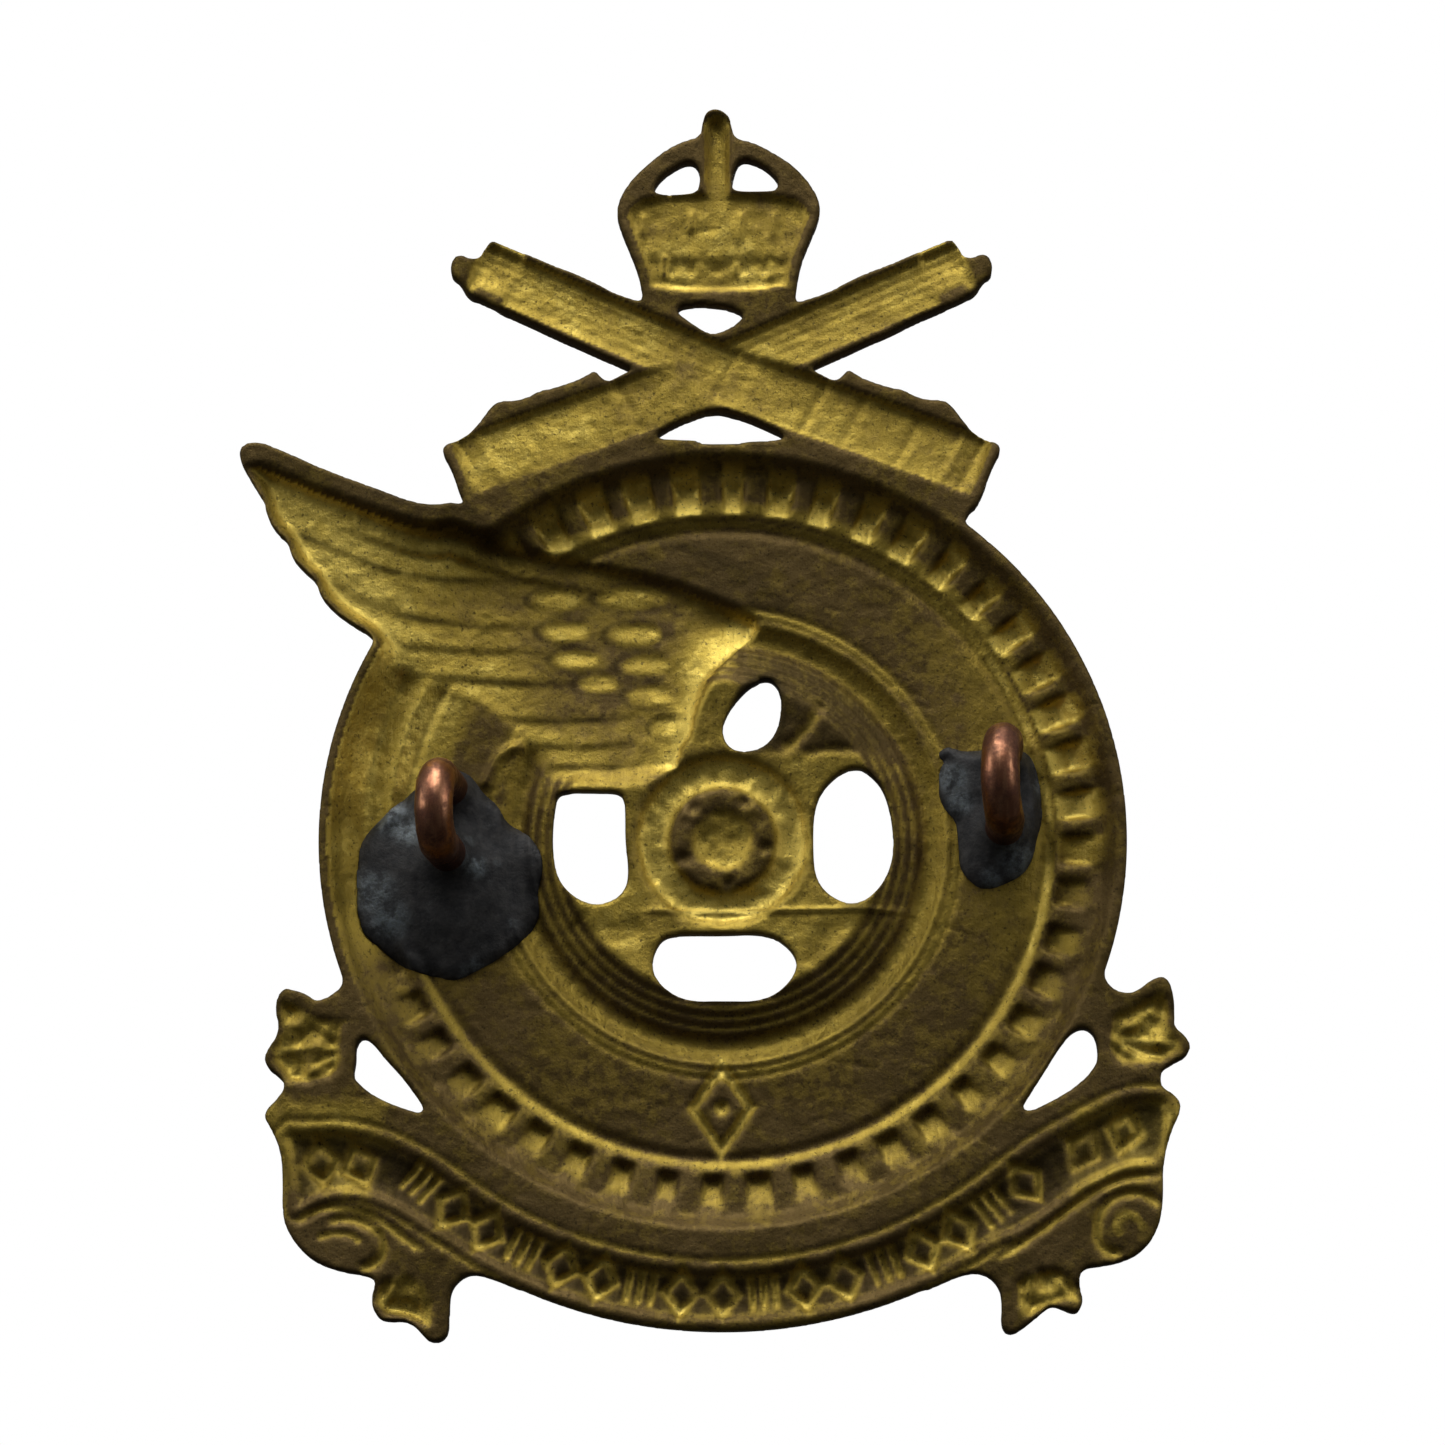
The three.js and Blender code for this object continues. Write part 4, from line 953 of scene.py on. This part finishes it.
def brass_material():
    paint = Paint("tarnished_brass")
    clouds = paint.noise(0.22, 5, 0.6, seed=1.0)
    mottle = paint.noise(1.7, 6, 0.7, seed=2.0)
    speck = paint.noise(6.0, 3, 0.6, seed=3.0)
    drawn = paint.noise(1.1, 4, 0.6, stretch=(5.0, 1.0, 0.35), seed=4.0)
    tarnish_and_painted_shade = paint.attribute("tarnish_and_painted_shade")
    polish_and_painted_light = paint.attribute("clean_and_painted_light")
    broad = paint.span(clouds, 0.36, 0.66, 0.15, -0.25)
    patchy = paint.math("ADD", broad, paint.span(mottle, 0.36, 0.66, 0.3, -0.42))
    polish_and_painted_light = paint.math("ADD", polish_and_painted_light, patchy)
    clean_and_painted_light = paint.mix(paint.span(mottle, 0.38, 0.62), (0.33, 0.235, 0.043, 1), (0.55, 0.40, 0.073, 1))
    dull = paint.mix(paint.span(clouds, 0.4, 0.6), (0.125, 0.085, 0.028, 1), (0.165, 0.112, 0.042, 1))
    colour = paint.mix(paint.math("MULTIPLY", polish_and_painted_light, 1.0, clamp=True), dull, clean_and_painted_light)
    # Above 1 the brass is painted worn bright, partly as wear and partly as a painted highlight
    colour = paint.mix(paint.span(polish_and_painted_light, 1, 2), colour, (0.80, 0.60, 0.12, 1))
    colour = paint.mix(paint.span(speck, 0.56, 0.7, 0, 0.75), colour, (0.060, 0.044, 0.020, 1))
    # Tarnish and painted shade darken it
    colour = paint.mix(paint.span(tarnish_and_painted_shade, 0.3, 1.0, 0, 0.8), colour, (0.040, 0.029, 0.014, 1))
    rough = paint.math("ADD", paint.span(polish_and_painted_light, 0, 2, 0.6, 0.42), paint.span(drawn, 0.3, 0.7, -0.04, 0.06))
    normal = paint.bump(paint.noise(2.6, 5, 0.65, seed=5.0), 0.0001, 0.6)
    normal = paint.bump(drawn, 0.00005, 0.5, normal)
    normal = paint.bump(paint.noise(12.0, 2, 0.5, seed=6.0), 0.00001, 0.6, normal)
    metal_share = paint.span(polish_and_painted_light, 1, 2, 1, 0.75)
    return paint.finish(Base_Color=colour, Metallic=metal_share, Roughness=rough, Normal=normal)


def copper_material():
    paint = Paint("copper_wire")
    mottle = paint.noise(1.4, 5, 0.65, seed=11.0)
    streak = paint.noise(1.0, 4, 0.6, stretch=(4.0, 0.8, 0.8), seed=12.0)
    speck = paint.noise(7.0, 3, 0.6, seed=13.0)
    foot = paint.attribute("foot")
    worn_and_lit = paint.mix(paint.span(streak, 0.4, 0.65), (0.36, 0.155, 0.085, 1), (0.50, 0.24, 0.13, 1))
    oxide = paint.mix(paint.span(speck, 0.4, 0.7), (0.13, 0.055, 0.038, 1), (0.07, 0.038, 0.030, 1))
    # Oxide mottles the wire, and a painted shade darkens it towards its foot
    oxide_and_foot_shade = paint.math("ADD", paint.span(mottle, 0.38, 0.6, 0, 0.8), foot, clamp=True)
    colour = paint.mix(oxide_and_foot_shade, worn_and_lit, oxide)
    rough = paint.span(oxide_and_foot_shade, 0, 1, 0.34, 0.55)
    normal = paint.bump(streak, 0.00004, 0.5)
    normal = paint.bump(speck, 0.00002, 0.5, normal)
    return paint.finish(Base_Color=colour, Metallic=1.0, Roughness=rough, Normal=normal)


def solder_material():
    paint = Paint("old_solder")
    clouds = paint.noise(0.5, 5, 0.6, seed=21.0)
    mottle = paint.noise(2.0, 5, 0.65, seed=22.0)
    speck = paint.noise(8.0, 3, 0.6, seed=23.0)
    dark = paint.mix(paint.span(mottle, 0.35, 0.7), (0.018, 0.018, 0.019, 1), (0.046, 0.044, 0.042, 1))
    grey = paint.mix(paint.span(speck, 0.4, 0.7), (0.17, 0.20, 0.22, 1), (0.12, 0.14, 0.13, 1))
    # Pale grey patches, partly pale solder and partly a painted reflection
    frost_and_sheen = paint.math("ADD", paint.attribute("frost_and_sheen"), paint.span(clouds, 0.56, 0.7, 0, 0.6), clamp=True)
    bare_and_sheen = paint.math("MULTIPLY", frost_and_sheen, paint.span(mottle, 0.38, 0.6, 0.15, 1))
    colour = paint.mix(bare_and_sheen, dark, grey)
    rough = paint.span(bare_and_sheen, 0, 1, 0.62, 0.4)
    normal = paint.bump(mottle, 0.0001, 0.5)
    normal = paint.bump(speck, 0.00004, 0.6, normal)
    return paint.finish(Base_Color=colour, Metallic=0.35, Roughness=rough, Normal=normal)


# ---- The plate ----

steepness = np.hypot(*np.gradient(blurred(depth, 1.0), PITCH))
hollowness = blurred(depth, 6) - depth
# Tarnish and painted shade: darker in the hollows, partly as tarnish and partly as painted shade, and
# darker on steep walls as painted shade
tarnish_and_painted_shade = np.clip(-hollowness * 1.1 - 0.12, 0, 1) * 0.9 + np.clip(steepness * 0.5 - 0.55, 0, 0.4)
rim = 1 - ramp(0.05, 0.3, metal + 0.06 * value_noise(X, Z, 0.7, 77))
# The wing's scalloped end is worn clean up to its edge
rim = rim * (1 - 0.6 * ramp(14, 15.5, X) * (Z > 7.5))
tarnish_and_painted_shade = blurred(np.clip(tarnish_and_painted_shade + 0.75 * rim + 0.7 * lines + 0.9 * crease, 0, 1), 0.9)
clean_and_painted_light = np.clip(clean_and_painted_light, 0, 2)

BRASS, COPPER, SOLDER = brass_material(), copper_material(), solder_material()

drop = edge_drop(metal, EDGE_ROUND)
vertices, faces, used = two_sided(
    metal, -depth - drop, -(front_depth + SHEET) + drop, {"tarnish_and_painted_shade": tarnish_and_painted_shade, "clean_and_painted_light": clean_and_painted_light}
)
plate = add_object("plate_of_badge", vertices, faces, BRASS, used)
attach(plate, "root")
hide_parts("badge_plate")


# ---- Solder ----


def solder(name, node, outline, loop, patches, seed):
    edge = inside_distance(outline, 2) + 0.16 * value_noise(X, Z, 1.1, seed)
    bed = blurred(depth, 7)
    skin = 0.32 * np.sqrt(np.clip(edge / 0.4, 0, 1)) + 0.42 * ramp(0.2, 2.6, edge)
    skin = skin + 0.1 * layered_noise(X, Z, 2.2, seed + 1) * ramp(0.2, 0.9, edge)
    skin = skin + 0.02 * layered_noise(X, Z, 0.5, seed + 5)
    for side in (-1, 1):
        away = np.hypot(X - loop["x"], Z - loop["z"] - side * loop["half"])
        skin = skin + 0.75 * np.exp(-np.clip(away - 0.75, 0, None) / 0.42) * ramp(0, 0.7, edge)
    share = ramp(0, 1.2, edge)
    top = -(depth * (1 - share) + bed * share) + skin
    under = -depth - 0.06
    top = np.maximum(top, under + 0.02)
    frost_and_sheen = np.zeros(X.shape)
    for x, z, size in patches:
        frost_and_sheen = np.maximum(frost_and_sheen, swell(np.hypot(X - x, Z - z), size))
    vertices, faces, used = two_sided(edge, top, under, {"frost_and_sheen": frost_and_sheen})
    piece = add_object(name, vertices, faces, SOLDER, used)
    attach(piece, "root")
    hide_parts(node)


LOOP_RIGHT = {"x": 11.5, "z": 0.7, "half": 1.4}
LOOP_LEFT = {"x": -11.85, "z": 2.0, "half": 1.6}
SOLDER_RIGHT = [
    (13.26, 1.85), (14, 1.3), (14.69, 0.64), (15.3, -0.5), (15.5, -1.6), (15.45, -2.8), (15.06, -3.91),
    (14.4, -4.7), (13.42, -5.32), (12.3, -5.75), (11.24, -5.9), (10.06, -5.3), (8.6, -4.5), (7.75, -3.3),
    (7.6, -1.9), (7.6, -0.5), (8.3, 0.35), (9.14, 0.95), (9.6, 1.7), (10.2, 2.3), (10.9, 2.95),
    (11.6, 3.1), (12.3, 2.8),
]
SOLDER_LEFT = [
    (-9.1, 3.7), (-9.6, 3.45), (-9.2, 2.9), (-9.05, 2), (-9.25, 1.3), (-9.8, 0.8), (-9.95, 0),
    (-10, -1.2), (-10.5, -1.95), (-11.3, -2.1), (-12.2, -1.75), (-13, -1.1), (-13.4, 0.1), (-13.45, 1.5),
    (-13.2, 2.9), (-12.9, 3.7), (-12.1, 4), (-11, 3.9), (-10.2, 3.75), (-9.8, 3.9), (-9.4, 4.05),
]
# Where the solder is painted pale grey, partly as pale solder and partly as a painted reflection: the
# middle and the size of each patch
PALE_RIGHT = [(14.7, -2.2, 1.3), (14, -3.4, 1.2), (13.9, 0.9, 1.2), (13.2, 0.4, 1), (10.4, -1.2, 0.7)]
PALE_LEFT = [(-9.7, 2.6, 0.9), (-10, 1.6, 0.8), (-12.4, -0.9, 1.2), (-11.3, -1.7, 0.7)]
solder("solder_of_right_loop", "solder_right", SOLDER_RIGHT, LOOP_RIGHT, PALE_RIGHT, 81)
solder("solder_of_left_loop", "solder_left", SOLDER_LEFT, LOOP_LEFT, PALE_LEFT, 91)


# ---- Wire loops ----

WIRE_RADIUS = 0.8
WIRE_SIDES = 28
LEG_RINGS = 12
BEND_RINGS = 32


def wire_loop(name, node, loop, lean, seed):
    low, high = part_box(node)
    foot, tip = low[1] / MM, high[1] / MM
    bend = loop["half"]
    shoulder = tip - WIRE_RADIUS - bend
    path = []
    for y in np.linspace(foot, shoulder, LEG_RINGS, endpoint=False):
        path.append((0, y, -bend))
    for turn in np.linspace(0, math.pi, BEND_RINGS):
        path.append((0, shoulder + bend * math.sin(turn), -bend * math.cos(turn)))
    for y in np.linspace(foot, shoulder, LEG_RINGS, endpoint=False)[::-1]:
        path.append((0, y, bend))
    path = np.array(path)
    rng = np.random.default_rng(seed)
    height = (path[:, 1] - foot) / (tip - foot)
    path[:, 0] += loop["x"] + lean * height**2 + 0.05 * np.sin(height * 5 + rng.uniform(0, 6))
    path[:, 2] += loop["z"]
    vertices, foot_shade = [], []
    ahead = np.gradient(path, axis=0)
    for k, (point, forward) in enumerate(zip(path, ahead)):
        forward = forward / np.linalg.norm(forward)
        side = np.cross(forward, (1, 0, 0))
        side /= np.linalg.norm(side)
        other = np.cross(side, forward)
        for step in range(WIRE_SIDES):
            angle = 2 * math.pi * step / WIRE_SIDES
            wobble = 0.018 * value_noise(np.array([k * 0.5]), np.array([angle * 2]), 1.3, seed)[0]
            radius = WIRE_RADIUS + wobble
            vertices.append(point + radius * (math.cos(angle) * side + math.sin(angle) * other))
            # A painted shade, darker towards the loop's foot
            foot_shade.append(float(1 - ramp(0.2, 2.6, point[1])))
    faces = []
    rings = len(path)
    for k in range(rings - 1):
        for step in range(WIRE_SIDES):
            after = (step + 1) % WIRE_SIDES
            a, b = k * WIRE_SIDES, (k + 1) * WIRE_SIDES
            faces.append([a + step, a + after, b + after, b + step])
    faces.append(list(range(WIRE_SIDES))[::-1])
    faces.append([(rings - 1) * WIRE_SIDES + step for step in range(WIRE_SIDES)])
    piece = add_object(name, vertices, faces, COPPER, {"foot": foot_shade})
    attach(piece, "root")
    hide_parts(node)


wire_loop("wire_loop_right", "loop_right", LOOP_RIGHT, 0.6, 101)
wire_loop("wire_loop_left", "loop_left", LOOP_LEFT, 0.45, 103)


# ---- Floor, light and camera ----


def aim(thing, target):
    direction = np.array(target) - np.array(thing.location)
    x, y, z = direction / np.linalg.norm(direction)
    thing.rotation_euler = (math.atan2(math.hypot(x, y), -z), 0, math.atan2(y, x) - math.pi / 2)


LIGHT_TARGET = (0, 0, 0.005)


def area_light(name, location, size, power):
    lamp = bpy.data.lights.new(name, "AREA")
    lamp.shape = "DISK"
    lamp.size = size
    lamp.energy = power
    thing = bpy.data.objects.new(name, lamp)
    thing.location = location
    aim(thing, LIGHT_TARGET)
    bpy.context.scene.collection.objects.link(thing)


def floor_material():
    paint = Paint("pale_floor")
    tint = paint.span(paint.noise(0.02, 3, 0.5, seed=31.0), 0.3, 0.7)
    colour = paint.mix(tint, (0.86, 0.86, 0.86, 1), (0.9, 0.9, 0.9, 1))
    return paint.finish(
        Base_Color=colour, Roughness=0.8, Emission_Color=(1, 1, 1, 1), Emission_Strength=0.6
    )


FLOOR_RADIUS = 2.0
FLOOR_HEIGHT = -0.085
FLOOR_SIDES = 64

floor_mesh = bpy.data.meshes.new("floor")
turns = np.linspace(0, 2 * math.pi, FLOOR_SIDES, endpoint=False)
ring = [(FLOOR_RADIUS * math.cos(a), FLOOR_RADIUS * math.sin(a), FLOOR_HEIGHT) for a in turns]
floor_mesh.from_pydata(ring, [], [list(range(FLOOR_SIDES))])
floor_mesh.materials.append(floor_material())
floor = bpy.data.objects.new("floor", floor_mesh)
bpy.context.scene.collection.objects.link(floor)
# The floor's own glow keeps it pale towards the horizon and doesn't light the badge
floor.visible_glossy = False
floor.visible_diffuse = False

area_light("light_above", (0.03, 0.15, 0.42), 0.4, 1.6)
area_light("light_side", (0.36, 0.14, 0.12), 0.24, 0.3)
area_light("light_other_side", (-0.36, 0.14, 0.12), 0.24, 0.25)
area_light("light_front", (0.0, -0.5, 0.35), 0.4, 2.6)

world = bpy.data.worlds.new("studio")
world.use_nodes = True
sky = world.node_tree
seen = sky.nodes["Background"]
seen.inputs["Color"].default_value = (1, 1, 1, 1)
seen.inputs["Strength"].default_value = 1.0
lit = sky.nodes.new("ShaderNodeBackground")
lit.inputs["Strength"].default_value = 1.0
direction = sky.nodes.new("ShaderNodeTexCoord")
parts = sky.nodes.new("ShaderNodeSeparateXYZ")
shade = sky.nodes.new("ShaderNodeValToRGB")
height = sky.nodes.new("ShaderNodeMapRange")
height.inputs["From Min"].default_value = -1.0
sky.links.new(direction.outputs["Generated"], parts.inputs[0])
sky.links.new(parts.outputs["Z"], height.inputs["Value"])
sky.links.new(height.outputs[0], shade.inputs["Fac"])
sky.links.new(shade.outputs["Color"], lit.inputs["Color"])
# From straight down (0) to straight up (1): dark below, brighter overhead
SKY = [(0, 0.035), (0.42, 0.05), (0.6, 0.1), (1, 0.25)]
while len(shade.color_ramp.elements) < len(SKY):
    shade.color_ramp.elements.new(0.5)
for stop, (place, grey) in zip(shade.color_ramp.elements, SKY):
    stop.position = place
    stop.color = (grey, grey, grey, 1)
path_kind = sky.nodes.new("ShaderNodeLightPath")
either = sky.nodes.new("ShaderNodeMixShader")
sky.links.new(path_kind.outputs["Is Camera Ray"], either.inputs[0])
sky.links.new(lit.outputs[0], either.inputs[1])
sky.links.new(seen.outputs[0], either.inputs[2])
sky.links.new(either.outputs[0], sky.nodes["World Output"].inputs["Surface"])
bpy.context.scene.world = world
bpy.context.scene.view_settings.view_transform = "Standard"
bpy.context.scene.view_settings.look = "None"

LENS = 150.0
SENSOR = 36.0
FRAME_WIDTH = 60.8 * MM  # what the picture spans at the badge
AZIMUTH, ELEVATION = 180.5, -11.5
TARGET = (0.0, 0.0, 4.85 * MM)

camera_data = bpy.data.cameras.new("camera")
camera_data.lens = LENS
camera_data.sensor_width = SENSOR
camera_data.clip_start = 0.01
camera = bpy.data.objects.new("camera", camera_data)
distance = FRAME_WIDTH * LENS / SENSOR
azimuth, elevation = math.radians(AZIMUTH), math.radians(ELEVATION)
camera.location = (
    TARGET[0] + distance * math.sin(azimuth) * math.cos(elevation),
    TARGET[1] - distance * math.cos(azimuth) * math.cos(elevation),
    TARGET[2] + distance * math.sin(elevation),
)
aim(camera, TARGET)
bpy.context.scene.collection.objects.link(camera)
bpy.context.scene.camera = camera
